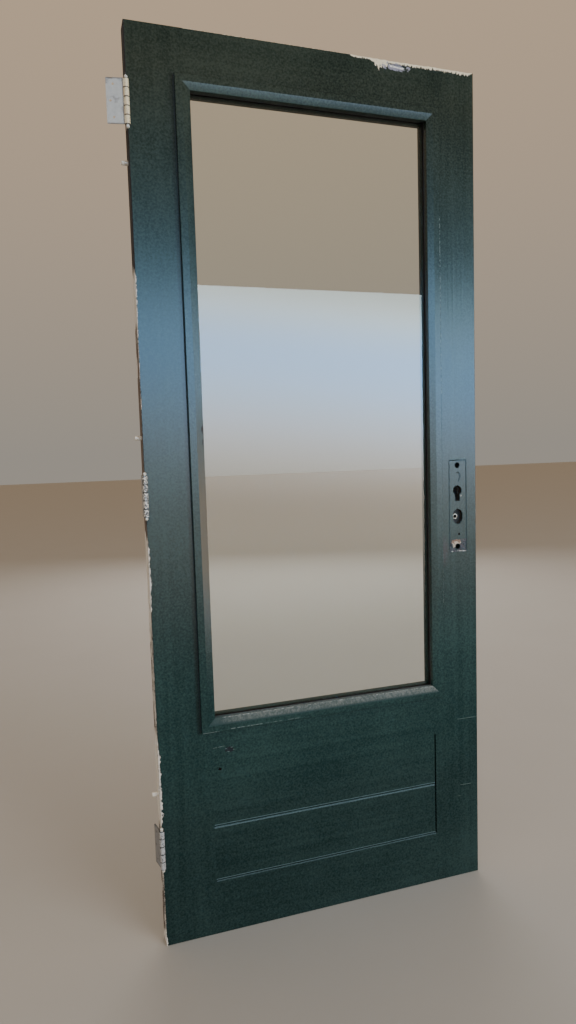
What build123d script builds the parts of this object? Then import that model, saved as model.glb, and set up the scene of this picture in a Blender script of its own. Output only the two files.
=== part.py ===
from build123d import *
import os

os.makedirs("parts", exist_ok=True)

# A half-glazed timber door leaf with its hinges, hinge bolts and mortice lock.
# Sizes are in millimetres. The origin is the middle of the leaf's bottom edge, at mid thickness.
# +X points to the lock edge, -Y to the face that carries the raised moulding, +Z up.

# Leaf
leaf_w = 810.0
leaf_h = 1980.0
leaf_t = 40.0
stile_w = 120.0
top_rail_h = 115.0
middle_rail_h = 117.7
upper_board_h = 129.0
lower_board_h = 129.5
bottom_rail_h = 127.0
arris_r = 1.2

# Joints between stiles, rails and boards
tenon_t = 13.0
tenon_l = 60.0
tenon_shoulder = 14.0
haunch = 32.0
glue_space = 2.0
tongue_t = 8.0
tongue_l = 9.0
groove_depth = 10.0
v_joint = 3.6
lower_joint_v = 2.0
board_end_gap = 3.8
lower_joint_gap = 1.8

# Glazing: how far each strip lies inside (+) or outside (-) the opening's edge
moulding_w = 31.5
moulding_lap = 21.5
moulding_flat = 15.75
moulding_raise = 10.0
moulding_drop = 3.5
moulding_tongue = 4.0
moulding_arris_r = 1.2
moulding_lip_r = 0.8
bead_arris = 2.0
glass_t = 6.0
glass_edge_gap = 3.0
front_gasket_t = 6.0
rear_gasket_t = 3.0
gasket_inset = 0.5
block_l = 80.0
block_t = 10.0
block_from_end = 90.0

# Hinges
hinge_h = 89.0
hinge_reach = 40.0
hinge_plate_t = 2.2
hinge_gap = 1.8
hinge_let_in = 3.2
hinge_corner_r = 1.5
hinge_from_top = 162.5
hinge_middle_z = 1017.0
hinge_from_bottom = 230.5
knuckle_r = 5.5
knuckle_count = 5
knuckle_play = 0.4
knuckle_off_face = 0.5
knuckle_notch = 0.7
knuckle_root = 4.2
pin_r = 3.2
pin_clearance = 0.05
pin_tip_r = 3.9
pin_tip_rise = 3.4
pin_tip_sides = 8
hinge_hole_pitch = 32.0
hinge_hole_out = 26.0
hinge_hole_mid_out = 32.0

# Screws
screw_r = 2.2
screw_head_r = 4.2
screw_l = 28.0
screw_tip_l = 5.0
screw_clearance = 0.2
screw_pilot_clearance = 0.02
sink_angle = 90.0
driver_slot_w = 1.1
driver_slot_l = 4.6
driver_slot_d = 1.0
cap_screw_r = 1.4
cap_screw_head_r = 2.6
cap_screw_l = 7.0

# Hinge bolts
hinge_bolt_r = 4.9
hinge_bolt_out = 14.0
hinge_bolt_in = 40.0
hinge_bolt_shank_r = 4.4
hinge_bolt_shoulder = 0.3
hinge_bolt_zs = (349.0, 1141.0, 1707.0)
hinge_bolt_tip = 1.0
hinge_bolt_clearance = 0.1

# Lock
backset = 52.0
spindle_z = 930.0
cylinder_z = 995.0
case_depth = 78.0
case_z0 = 872.0
case_z1 = 1040.0
case_t = 16.0
case_wall = 1.5
case_fit = 0.2
post_r = 3.5
post_inset = 9.0
forend_t = 3.0
forend_w = 22.0
forend_h = 236.0
forend_z = 956.0
forend_screw_inset = 8.0
forend_corner_r = 1.0
cylinder_screw_r = 2.6
cylinder_screw_drop = 20.5
spindle_square = 8.0
collar_wall = 0.6
hub_r = 9.5
hub_clearance = 0.1
side_play = 0.2
arm_w = 6.0
arm_l = 17.5
arm_y0 = -5.0
arm_y1 = 0.0
latch_t = 12.0
latch_h = 20.0
latch_out = 9.0
latch_in = 14.0
latch_z = 948.0
latch_nose_w = 2.5
latch_bevel_l = 8.0
tail_h = 8.0
tail_y0 = 1.0
tail_y1 = 5.0
peg_w = 5.0
peg_gap = 0.6
peg_drop = 4.0
spring_r = 2.1
spring_wire_r = 0.45
spring_wire_sides = 4
spring_turns = 6
spring_y = -3.0
spring_above = 7.0
spring_l = 20.0
spring_seat = 0.3
lug_w = 3.0
lug_h = 5.9
lug_t = 6.0
dead_t = 12.0
dead_h = 30.0
dead_l = 40.0
dead_z0 = 981.0
dead_inset = 0.2
dead_tail_l = 29.0
dead_tail_t = 6.0
dead_tail_h = 5.5
cam_notch_w = 11.0
cam_notch_h = 3.0
bolt_play = 0.3
bolt_arris = 0.8
euro_r = 8.7
euro_leg_w = 10.4
euro_h = 33.4

# Holes worked in the lock stile for the furniture
furniture_pitch = 201.0
furniture_z = 956.3
furniture_hole_r = 5.75
spindle_hole_w = 25.5
spindle_hole_h = 35.0
spindle_hole_dx = 0.75
spindle_hole_dz = 1.0
cylinder_hole_r = 11.0
cylinder_leg_w = 12.6
cylinder_hole_h = 37.0
plate_screw_dx = 3.9
plate_screw_z = 886.5
plate_screw_r = 2.0
plate_screw_depth = 9.0

# Places worked out from the sizes above
hinge_edge = -leaf_w / 2
lock_edge = leaf_w / 2
front = -leaf_t / 2
rear = leaf_t / 2
opening_x = leaf_w / 2 - stile_w
lower_board_z = bottom_rail_h
upper_board_z = lower_board_z + lower_board_h
middle_rail_z = upper_board_z + upper_board_h
opening_z0 = middle_rail_z + middle_rail_h
opening_z1 = leaf_h - top_rail_h
opening_z = (opening_z0 + opening_z1) / 2
glass_front = front + moulding_tongue + front_gasket_t
glass_rear = glass_front + glass_t
bead_front = glass_rear + rear_gasket_t
sight_inset = moulding_w - moulding_lap
hinge_plate_x = hinge_edge + hinge_let_in - hinge_plate_t
hinge_axis_x = hinge_plate_x - hinge_gap / 2
hinge_axis_y = front - knuckle_off_face - knuckle_r
hinge_recess_rear = hinge_axis_y + hinge_reach
hinges = {
    "top": (leaf_h - hinge_from_top, 80.0),
    "middle": (hinge_middle_z, 0.0),
    "bottom": (hinge_from_bottom, 12.0),
}
lock_x = lock_edge - backset
case_x1 = lock_edge - forend_t
case_x0 = case_x1 - case_depth
case_front = -case_t / 2
forend_screw_pitch = forend_h - 2 * forend_screw_inset
collar_r = spindle_square * 0.5 ** 0.5 + collar_wall
spring_x1 = lock_edge - latch_in
spring_x0 = spring_x1 - spring_l

X_AXIS = Vector(1, 0, 0)
Y_AXIS = Vector(0, 1, 0)
Z_AXIS = Vector(0, 0, 1)


def save(builder, name):
    """Label a finished piece and write it as its own STEP file."""
    builder.part.label = name
    export_step(builder.part, f"parts/{name}.step")


def edge_plane(x):
    """A sketch plane on an upright edge: its x runs along +Y, its y runs up, it faces +X."""
    return Plane(origin=(x, 0, 0), x_dir=Y_AXIS, z_dir=X_AXIS)


def face_plane(y):
    """A sketch plane on a face of the leaf seen from the front: x to the right, y up."""
    return Plane(origin=(0, y, 0), x_dir=X_AXIS, z_dir=-Y_AXIS)


# Low edge, high edge, tenon low, tenon high
rails = {
    "top_rail": (opening_z1, leaf_h, opening_z1 + tenon_shoulder, leaf_h - haunch),
    "middle_rail": (middle_rail_z, opening_z0, middle_rail_z + tenon_shoulder,
                    opening_z0 - tenon_shoulder),
    "bottom_rail": (0, bottom_rail_h, haunch, bottom_rail_h - tenon_shoulder),
}


# Stiles
def stile(side):
    """A stile with rounded outer arrises, its mortices and the groove for the boards."""
    inner_x = side * opening_x
    with BuildPart() as blank:
        with BuildSketch(Plane.XY):
            with Locations((inner_x + side * stile_w / 2, 0)):
                Rectangle(stile_w, leaf_t)
        extrude(amount=leaf_h)
        outer = blank.faces().sort_by(Axis.X)[-1 if side > 0 else 0]
        across = blank.edges().filter_by(Axis.X)
        fillet(outer.edges() + across, arris_r)
        with BuildSketch(edge_plane(inner_x)):
            for low, high, tenon_low, tenon_high in rails.values():
                with Locations((0, (tenon_low + tenon_high) / 2)):
                    Rectangle(tenon_t, tenon_high - tenon_low)
        extrude(amount=side * (tenon_l + glue_space), mode=Mode.SUBTRACT)
        with BuildSketch(edge_plane(inner_x)):
            with Locations((0, (lower_board_z + middle_rail_z) / 2)):
                Rectangle(tongue_t, middle_rail_z - lower_board_z)
        extrude(amount=side * groove_depth, mode=Mode.SUBTRACT)
    return blank


def hinge_holes(z):
    """The three screw places of a hinge leaf: distance out from the pin's axis, and height."""
    return [
        (hinge_hole_out, z + hinge_hole_pitch),
        (hinge_hole_mid_out, z),
        (hinge_hole_out, z - hinge_hole_pitch),
    ]


hinge_blank = stile(-1)
with BuildPart() as hinge_stile:
    add(hinge_blank.part)
    for centre, turn in hinges.values():
        with BuildSketch(edge_plane(hinge_edge)):
            with Locations(((front + hinge_recess_rear) / 2, centre)):
                Rectangle(hinge_recess_rear - front, hinge_h)
        extrude(amount=hinge_let_in, mode=Mode.SUBTRACT)
        with BuildSketch(edge_plane(hinge_edge + hinge_let_in)):
            with Locations(*[(hinge_axis_y + out, z) for out, z in hinge_holes(centre)]):
                Circle(screw_r + screw_pilot_clearance)
        extrude(amount=screw_l, mode=Mode.SUBTRACT)
    with BuildSketch(edge_plane(hinge_edge)):
        with Locations(*[(0, z) for z in hinge_bolt_zs]):
            Circle(hinge_bolt_shank_r + hinge_bolt_clearance)
    extrude(amount=hinge_bolt_in, mode=Mode.SUBTRACT)
save(hinge_stile, "hinge_stile")

lock_blank = stile(1)
with BuildPart() as lock_stile:
    add(lock_blank.part)
    # the mortice for the lock case, the shallow bed for the forend, its pilot holes
    with BuildSketch(edge_plane(lock_edge)):
        with Locations((0, (case_z0 + case_z1) / 2)):
            Rectangle(case_t + 2 * case_fit, case_z1 - case_z0 + 2 * case_fit)
    extrude(amount=-(forend_t + case_depth + glue_space), mode=Mode.SUBTRACT)
    with BuildSketch(edge_plane(lock_edge)):
        with Locations((0, forend_z)):
            RectangleRounded(forend_w + 2 * case_fit, forend_h + 2 * case_fit, forend_corner_r)
    extrude(amount=-forend_t, mode=Mode.SUBTRACT)
    with BuildSketch(edge_plane(case_x1)):
        with Locations((0, forend_z)):
            with GridLocations(0, forend_screw_pitch, 1, 2):
                Circle(screw_r + screw_pilot_clearance)
    extrude(amount=-screw_l, mode=Mode.SUBTRACT)
    # holes through both cheeks: two furniture bolts, the spindle and the cylinder
    with BuildSketch(face_plane(front)):
        with Locations((lock_x, furniture_z)):
            with GridLocations(0, furniture_pitch, 1, 2):
                Circle(furniture_hole_r)
        with Locations((lock_x + spindle_hole_dx, spindle_z + spindle_hole_dz)):
            SlotOverall(spindle_hole_h, spindle_hole_w, rotation=90)
        with Locations((lock_x, cylinder_z)):
            Circle(cylinder_hole_r)
        leg_low = cylinder_z + cylinder_hole_r - cylinder_hole_h
        with Locations((lock_x, (cylinder_z + leg_low) / 2)):
            Rectangle(cylinder_leg_w, cylinder_z - leg_low)
    extrude(amount=-leaf_t, mode=Mode.SUBTRACT)
    with BuildSketch(face_plane(front)):
        with Locations((lock_x + plate_screw_dx, plate_screw_z)):
            Circle(plate_screw_r)
    extrude(amount=-plate_screw_depth, mode=Mode.SUBTRACT)
save(lock_stile, "lock_stile")


# Rails
def rail(low, high, tenon_low, tenon_high, groove_z=None, groove_way=0, v_edge=0.0):
    """A rail between the stiles with a stub tenon at each end and a groove for the boards."""
    with BuildPart() as piece:
        with BuildSketch(face_plane(front)):
            with Locations((0, (low + high) / 2)):
                Rectangle(2 * opening_x, high - low)
        extrude(amount=-leaf_t)
        for z in (0, leaf_h):
            fillet_edges = piece.edges().filter_by(Axis.X).filter_by_position(Axis.Z, z, z)
            if fillet_edges:
                fillet(fillet_edges, arris_r)
        if v_edge:
            chamfer(piece.edges().filter_by(Axis.X).group_by(Axis.Z)[-1], v_edge)
        with BuildSketch(face_plane(-tenon_t / 2)):
            with Locations((0, (tenon_low + tenon_high) / 2)):
                Rectangle(2 * (opening_x + tenon_l), tenon_high - tenon_low)
        extrude(amount=-tenon_t)
        if groove_way:
            with BuildSketch(Plane.XY.offset(groove_z)):
                Rectangle(2 * opening_x, tongue_t)
            extrude(amount=groove_way * groove_depth, mode=Mode.SUBTRACT)
    return piece


top_rail = rail(*rails["top_rail"])
save(top_rail, "top_rail")

middle_rail = rail(*rails["middle_rail"], groove_z=middle_rail_z, groove_way=1)
save(middle_rail, "middle_rail")

bottom_rail = rail(*rails["bottom_rail"], groove_z=bottom_rail_h, groove_way=-1,
                   v_edge=lower_joint_v)
save(bottom_rail, "bottom_rail")


# Boards under the middle rail
def board(low, high, v_low, v_high, tongue_up, groove_up):
    """A flush board with end tongues, a tongue below, and a tongue or a groove above."""
    end_low = -opening_x - tongue_l
    end_high = opening_x - board_end_gap + tongue_l
    end_top = high - groove_depth if groove_up else high
    with BuildPart() as piece:
        with BuildSketch(edge_plane(-opening_x)):
            with Locations((0, (low + high) / 2)):
                Rectangle(leaf_t, high - low)
            for end, size in ((0, v_low), (-1, v_high)):
                if size:
                    chamfer(vertices().group_by(Axis.Y)[end], size)
        extrude(amount=2 * opening_x - board_end_gap)
        with BuildSketch(face_plane(-tongue_t / 2)):
            with Locations(((end_low + end_high) / 2, (low + end_top) / 2)):
                Rectangle(end_high - end_low, end_top - low)
            tongue_low = low - tongue_l
            tongue_high = high + tongue_l if tongue_up else high - groove_depth
            with Locations((-board_end_gap / 2, (tongue_low + tongue_high) / 2)):
                Rectangle(2 * opening_x - board_end_gap, tongue_high - tongue_low)
        extrude(amount=-tongue_t)
        if groove_up:
            with BuildSketch(Plane.XY.offset(high)):
                with Locations((-board_end_gap / 2, 0)):
                    Rectangle(2 * opening_x - board_end_gap, tongue_t)
            extrude(amount=-groove_depth, mode=Mode.SUBTRACT)
    return piece


upper_board = board(upper_board_z, middle_rail_z, v_joint, 0.0, tongue_up=True, groove_up=False)
save(upper_board, "upper_board")

lower_board = board(lower_board_z + lower_joint_gap, upper_board_z, lower_joint_v, v_joint,
                    tongue_up=False, groove_up=True)
save(lower_board, "lower_board")

# Glazing strips, mitred at the corners of the opening
sides = {
    "bottom": (Vector(0, 0, opening_z0), Z_AXIS, 2 * opening_x),
    "top": (Vector(0, 0, opening_z1), -Z_AXIS, 2 * opening_x),
    "left": (Vector(-opening_x, 0, opening_z), X_AXIS, opening_z1 - opening_z0),
    "right": (Vector(opening_x, 0, opening_z), -X_AXIS, opening_z1 - opening_z0),
}


def mitred_strip(side, section, rounded=(), eased=()):
    """A strip along one side of the opening. The section gives (inward, out of the leaf) points."""
    middle, inward, run = sides[side]
    along = inward.cross(-Y_AXIS)
    near = min(point[0] for point in section)
    far = max(point[0] for point in section)
    with BuildPart() as strip:
        with BuildSketch(Plane(origin=middle, x_dir=inward, z_dir=along)) as across:
            with BuildLine():
                Polyline(*section, close=True)
            make_face()
            for corner, radius in rounded:
                fillet(across.vertices().sort_by_distance(section[corner])[0], radius)
            for corner, size in eased:
                chamfer(across.vertices().sort_by_distance(section[corner])[0], size)
        extrude(amount=run / 2 - near, both=True)
        with BuildSketch(Plane(origin=middle, x_dir=along, z_dir=-Y_AXIS)):
            with BuildLine():
                Polyline(
                    (near - run / 2, near), (run / 2 - near, near),
                    (run / 2 - far, far), (far - run / 2, far), close=True,
                )
            make_face()
        extrude(amount=leaf_t, both=True, mode=Mode.INTERSECT)
    return strip


face_out = leaf_t / 2
moulding_section = [
    (-moulding_lap, face_out),
    (-moulding_lap, face_out + moulding_raise),
    (-moulding_lap + moulding_flat, face_out + moulding_raise),
    (sight_inset, face_out + moulding_raise - moulding_drop),
    (sight_inset, face_out - moulding_tongue),
    (0, face_out - moulding_tongue),
    (0, face_out),
]
gasket_edge = sight_inset - gasket_inset


def flat_section(near, far, low, high):
    """A plain rectangular section: near and far from the opening's edge, low and high in Y."""
    return [(near, -low), (far, -low), (far, -high), (near, -high)]


for side in sides:
    moulding = mitred_strip(side, moulding_section,
                            rounded=((1, moulding_arris_r), (3, moulding_lip_r)))
    save(moulding, f"front_moulding_{side}")
    bead = mitred_strip(side, flat_section(0, sight_inset, bead_front, rear),
                        eased=[(2, bead_arris)])
    save(bead, f"rear_bead_{side}")
    gasket = mitred_strip(side, flat_section(glass_edge_gap, gasket_edge,
                                             front + moulding_tongue, glass_front))
    save(gasket, f"front_gasket_{side}")
    gasket = mitred_strip(side, flat_section(glass_edge_gap, gasket_edge,
                                             glass_rear, bead_front))
    save(gasket, f"rear_gasket_{side}")

with BuildPart() as glass_pane:
    with BuildSketch(face_plane(glass_front)):
        with Locations((0, opening_z)):
            Rectangle(2 * (opening_x - glass_edge_gap), opening_z1 - opening_z0 - 2 * glass_edge_gap)
    extrude(amount=-glass_t)
save(glass_pane, "glass_pane")

with BuildPart() as setting_blocks:
    with BuildSketch(Plane.XY.offset(opening_z0)):
        with Locations((0, (glass_front + glass_rear) / 2)):
            with GridLocations(2 * (opening_x - block_from_end), 0, 2, 1):
                Rectangle(block_l, block_t)
    extrude(amount=glass_edge_gap)
save(setting_blocks, "setting_blocks")


# Hinges
def hinge_plane(centre, turn):
    """The hinge's own frame: x across the leaf's thickness, y out along it, z up the pin."""
    facing = X_AXIS.rotate(Axis.Z, turn)
    return Plane(origin=(hinge_axis_x, hinge_axis_y, centre), x_dir=facing, z_dir=Z_AXIS)


def hinge_leaf(centre, turn, hand, knuckles):
    """One leaf of a butt hinge: plate with countersunk holes, knuckles bored for the pin."""
    frame = hinge_plane(centre, turn)
    knuckle_l = hinge_h / knuckle_count
    plate_start = knuckle_r + knuckle_notch
    near = hand * hinge_gap / 2
    inner_face = Plane(origin=frame.from_local_coords((near, 0, 0)), x_dir=frame.y_dir,
                       z_dir=frame.x_dir)
    sink_face = Plane(origin=frame.from_local_coords((near, 0, 0)), x_dir=frame.y_dir,
                      z_dir=frame.x_dir * -hand)
    with BuildPart() as leaf:
        with BuildSketch(inner_face) as plate:
            with Locations(((plate_start + hinge_reach) / 2, 0)):
                Rectangle(hinge_reach - plate_start, hinge_h)
            outer = plate.vertices().group_by(Axis.X)[-1]
            fillet(outer, hinge_corner_r)
        extrude(amount=hand * hinge_plate_t)
        for index in knuckles:
            low = -hinge_h / 2 + index * knuckle_l + knuckle_play / 2
            with BuildSketch(frame.offset(low)):
                Circle(knuckle_r)
                with Locations((near + hand * hinge_plate_t / 2, (knuckle_root + plate_start) / 2)):
                    Rectangle(hinge_plate_t, plate_start - knuckle_root)
                Circle(pin_r + pin_clearance, mode=Mode.SUBTRACT)
            extrude(amount=knuckle_l - knuckle_play)
        places = [Plane(origin=inner_face.from_local_coords((out, z, 0)), x_dir=sink_face.x_dir,
                        z_dir=sink_face.z_dir).location for out, z in hinge_holes(0)]
        with Locations(*places):
            CounterSinkHole(screw_r + screw_clearance, screw_head_r + screw_clearance,
                            depth=hinge_plate_t, counter_sink_angle=sink_angle)
    return leaf


own_knuckles = range(1, knuckle_count, 2)
free_knuckles = range(0, knuckle_count, 2)
pin_end = hinge_h / 2
tip_centre = pin_end + pin_tip_rise

for name, (centre, turn) in hinges.items():
    door_leaf = hinge_leaf(centre, 0, 1, own_knuckles)
    save(door_leaf, f"{name}_hinge_door_leaf")
    free_leaf = hinge_leaf(centre, turn, -1, free_knuckles)
    save(free_leaf, f"{name}_hinge_free_leaf")
    with BuildPart() as hinge_pin:
        with BuildSketch(Plane(origin=(hinge_axis_x, hinge_axis_y, centre), x_dir=X_AXIS,
                               z_dir=-Y_AXIS)):
            Rectangle(pin_r, 2 * tip_centre, align=(Align.MIN, Align.CENTER))
            with Locations((0, tip_centre), (0, -tip_centre)):
                RegularPolygon(pin_tip_r, pin_tip_sides, rotation=180 / pin_tip_sides)
            with Locations((-pin_tip_r, 0)):
                Rectangle(2 * pin_tip_r, 2 * hinge_h, mode=Mode.SUBTRACT)
        revolve(axis=Axis((hinge_axis_x, hinge_axis_y, centre), (0, 0, 1)))
    save(hinge_pin, f"{name}_hinge_pin")


def screw(place, radius, head_r, length, tip_l):
    """A countersunk screw with a cross recess, its head flush with the place's plane."""
    head_l = head_r - radius
    with BuildPart() as piece:
        with BuildSketch(Plane.XZ):
            with BuildLine():
                Polyline((0, 0), (head_r, 0), (radius, -head_l), (radius, tip_l - length),
                         (0, -length), close=True)
            make_face()
        revolve(axis=Axis.Z)
        with BuildSketch(Plane.XY):
            Rectangle(driver_slot_l * head_r / screw_head_r, driver_slot_w * head_r / screw_head_r)
            Rectangle(driver_slot_w * head_r / screw_head_r, driver_slot_l * head_r / screw_head_r)
        extrude(amount=-driver_slot_d * head_r / screw_head_r, mode=Mode.SUBTRACT)
    return place.location * piece.part


with BuildPart() as hinge_screws:
    for centre, turn in hinges.values():
        for out, z in hinge_holes(centre):
            place = Plane(origin=(hinge_plate_x, hinge_axis_y + out, z), z_dir=-X_AXIS)
            add(screw(place, screw_r, screw_head_r, screw_l, screw_tip_l))
save(hinge_screws, "hinge_screws")

with BuildPart() as hinge_bolts:
    with BuildSketch(edge_plane(hinge_edge - hinge_bolt_out)):
        with Locations(*[(0, z) for z in hinge_bolt_zs]):
            Circle(hinge_bolt_r)
    extrude(amount=hinge_bolt_out - hinge_bolt_shoulder)
    chamfer(hinge_bolts.edges().group_by(Axis.X)[0], hinge_bolt_tip)
    with BuildSketch(edge_plane(hinge_edge - hinge_bolt_shoulder)):
        with Locations(*[(0, z) for z in hinge_bolt_zs]):
            Circle(hinge_bolt_shank_r)
    extrude(amount=hinge_bolt_shoulder + hinge_bolt_in)
save(hinge_bolts, "hinge_bolts")


# Lock
def lock_openings(plane, thickness):
    """The spindle collar's hole and the cylinder's hole through one plate of the case."""
    with BuildPart() as holes:
        with BuildSketch(plane):
            with Locations((lock_x, spindle_z)):
                Circle(collar_r + hub_clearance)
            with Locations((lock_x, cylinder_z)):
                Circle(euro_r)
            leg_low = cylinder_z + euro_r - euro_h
            with Locations((lock_x, (leg_low + euro_leg_w / 2 + cylinder_z) / 2)):
                Rectangle(euro_leg_w, cylinder_z - leg_low - euro_leg_w / 2)
            with Locations((lock_x, leg_low + euro_leg_w / 2)):
                Circle(euro_leg_w / 2)
        extrude(amount=-thickness)
    return holes.part


case_middle = ((case_x0 + case_x1) / 2, (case_z0 + case_z1) / 2)
post_xs = (case_x0 + post_inset, case_x1 - post_inset)
post_zs = (case_z0 + post_inset, case_z1 - post_inset)
posts = [(x, z) for x in post_xs for z in post_zs]
cap_face = case_t / 2
cap_inner = cap_face - case_wall

with BuildPart() as lock_case:
    with BuildSketch(face_plane(case_front)):
        with Locations(case_middle):
            Rectangle(case_depth, case_z1 - case_z0)
    extrude(amount=-(case_t - case_wall))
    with BuildSketch(face_plane(case_front + case_wall)):
        with Locations((case_middle[0] + case_wall / 2, case_middle[1])):
            Rectangle(case_depth - case_wall, case_z1 - case_z0 - 2 * case_wall)
    extrude(amount=-(case_t - 2 * case_wall), mode=Mode.SUBTRACT)
    with BuildSketch(face_plane(case_front + case_wall)):
        with Locations(*posts):
            Circle(post_r)
    extrude(amount=-(case_t - 2 * case_wall))
    with BuildSketch(face_plane(case_front + case_wall)):
        with Locations((spring_x0 - lug_w / 2, latch_z + spring_above)):
            Rectangle(lug_w, lug_t)
    extrude(amount=-lug_h)
    with BuildSketch(face_plane(case_front)):
        with Locations(*posts):
            Circle(cap_screw_r + screw_clearance)
    extrude(amount=-case_t, mode=Mode.SUBTRACT)
    add(lock_openings(face_plane(case_front), case_wall), mode=Mode.SUBTRACT)
save(lock_case, "lock_case")

with BuildPart() as lock_cap:
    with BuildSketch(face_plane(cap_inner)):
        with Locations(case_middle):
            Rectangle(case_depth, case_z1 - case_z0)
    extrude(amount=-case_wall)
    places = [Plane(origin=(x, cap_face, z), z_dir=Y_AXIS).location for x, z in posts]
    with Locations(*places):
        CounterSinkHole(cap_screw_r + screw_clearance, cap_screw_head_r + screw_clearance,
                        depth=case_wall, counter_sink_angle=sink_angle)
    add(lock_openings(face_plane(cap_inner), case_wall), mode=Mode.SUBTRACT)
save(lock_cap, "lock_cap")

with BuildPart() as cap_screws:
    for x, z in posts:
        place = Plane(origin=(x, cap_face, z), z_dir=Y_AXIS)
        add(screw(place, cap_screw_r, cap_screw_head_r, cap_screw_l, cap_screw_r))
save(cap_screws, "cap_screws")

with BuildPart() as lock_forend:
    with BuildSketch(edge_plane(case_x1)):
        with Locations((0, forend_z)):
            RectangleRounded(forend_w, forend_h, forend_corner_r)
        with Locations((0, latch_z)):
            Rectangle(latch_t + 2 * bolt_play, latch_h + 2 * bolt_play, mode=Mode.SUBTRACT)
        with Locations((0, dead_z0 + dead_h / 2)):
            Rectangle(dead_t + 2 * bolt_play, dead_h + 2 * bolt_play, mode=Mode.SUBTRACT)
        with Locations((0, cylinder_z - cylinder_screw_drop)):
            Circle(cylinder_screw_r, mode=Mode.SUBTRACT)
    extrude(amount=forend_t)
    with Locations(*[Plane(origin=(lock_edge, 0, forend_z + way * forend_screw_pitch / 2),
                           z_dir=X_AXIS).location for way in (-1, 1)]):
        CounterSinkHole(screw_r + screw_clearance, screw_head_r + screw_clearance,
                        depth=forend_t, counter_sink_angle=sink_angle)
save(lock_forend, "lock_forend")

with BuildPart() as forend_screws:
    for way in (-1, 1):
        place = Plane(origin=(lock_edge, 0, forend_z + way * forend_screw_pitch / 2), z_dir=X_AXIS)
        add(screw(place, screw_r, screw_head_r, screw_l, screw_tip_l))
save(forend_screws, "forend_screws")

# The follower turns between the two plates and is bored square for the spindle
hub_half = case_t / 2 - case_wall - side_play
arm_x0 = lock_x - arm_w / 2
with BuildPart() as spindle_follower:
    with BuildSketch(face_plane(case_front)):
        with Locations((lock_x, spindle_z)):
            Circle(collar_r)
    extrude(amount=-case_t)
    with BuildSketch(face_plane(-hub_half)):
        with Locations((lock_x, spindle_z)):
            Circle(hub_r)
    extrude(amount=-2 * hub_half)
    with BuildSketch(face_plane(arm_y0)):
        with Locations((lock_x, spindle_z)):
            Rectangle(arm_w, arm_l, align=(Align.CENTER, Align.MIN))
    extrude(amount=arm_y0 - arm_y1)
    with BuildSketch(face_plane(case_front)):
        with Locations((lock_x, spindle_z)):
            Rectangle(spindle_square, spindle_square)
    extrude(amount=-case_t, mode=Mode.SUBTRACT)
save(spindle_follower, "spindle_follower")

# The latch bolt: bevelled head, flat tail, and the peg that the follower's arm pushes
peg_x1 = arm_x0 - peg_gap
peg_x0 = peg_x1 - peg_w
latch_x0 = lock_edge - latch_in
latch_x1 = lock_edge + latch_out
with BuildPart() as latch_bolt:
    with BuildSketch(Plane.XY.offset(latch_z - latch_h / 2)):
        with BuildLine():
            Polyline(
                (latch_x0, -latch_t / 2), (latch_x1, -latch_t / 2),
                (latch_x1, latch_nose_w - latch_t / 2), (latch_x1 - latch_bevel_l, latch_t / 2),
                (latch_x0, latch_t / 2), close=True,
            )
        make_face()
    extrude(amount=latch_h)
    with BuildSketch(face_plane(tail_y0)):
        with Locations((peg_x0, latch_z)):
            Rectangle(latch_x0 - peg_x0, tail_h, align=(Align.MIN, Align.CENTER))
        with Locations((peg_x0, latch_z - tail_h / 2)):
            Rectangle(peg_w, peg_drop, align=(Align.MIN, Align.MAX))
    extrude(amount=tail_y0 - tail_y1)
    with BuildSketch(face_plane(arm_y0)):
        with Locations((peg_x0, latch_z - tail_h / 2 - peg_drop)):
            Rectangle(peg_w, tail_h + peg_drop, align=(Align.MIN, Align.MIN))
    extrude(amount=arm_y0 - tail_y0)
save(latch_bolt, "latch_bolt")

with BuildPart() as latch_spring:
    spring_run = spring_l - 2 * (spring_seat + spring_wire_r)
    start = (spring_x0 + spring_seat + spring_wire_r, spring_y, latch_z + spring_above)
    with BuildLine() as coil:
        Helix(spring_run / spring_turns, spring_run, spring_r, center=start, direction=(1, 0, 0))
    with BuildSketch(Plane(origin=coil.line @ 0, z_dir=coil.line % 0)):
        RegularPolygon(spring_wire_r, spring_wire_sides)
    sweep(path=coil.line, is_frenet=True)
save(latch_spring, "latch_spring")

with BuildPart() as dead_bolt:
    dead_x1 = lock_edge - dead_inset
    dead_x0 = dead_x1 - dead_l
    with BuildSketch(edge_plane(dead_x0)):
        with Locations((0, dead_z0 + dead_h / 2)):
            Rectangle(dead_t, dead_h)
    extrude(amount=dead_l)
    chamfer(dead_bolt.faces().sort_by(Axis.X)[-1].edges(), bolt_arris)
    with BuildSketch(face_plane(-dead_tail_t / 2)):
        with Locations((dead_x0, dead_z0 + dead_h)):
            Rectangle(dead_tail_l, dead_tail_h, align=(Align.MAX, Align.MAX))
        with Locations((lock_x, dead_z0 + dead_h - dead_tail_h)):
            Rectangle(cam_notch_w, cam_notch_h, align=(Align.CENTER, Align.MIN),
                      mode=Mode.SUBTRACT)
    extrude(amount=-dead_tail_t)
save(dead_bolt, "dead_bolt")
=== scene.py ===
# %% [markdown]
# # A used back door, half glazed
# The door is a softwood frame of stiles and rails with a tall pane of glass above and two
# boards below. The solid model brings every piece in at its real place. This script gives the
# pieces their finish: dark green enamel put on by brush over older cream paint, with chips,
# scratches and dirt where the door was handled, and bare metal at the hinges and the lock.

import math

import bmesh
import bpy
from mathutils import Euler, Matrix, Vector, noise


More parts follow.
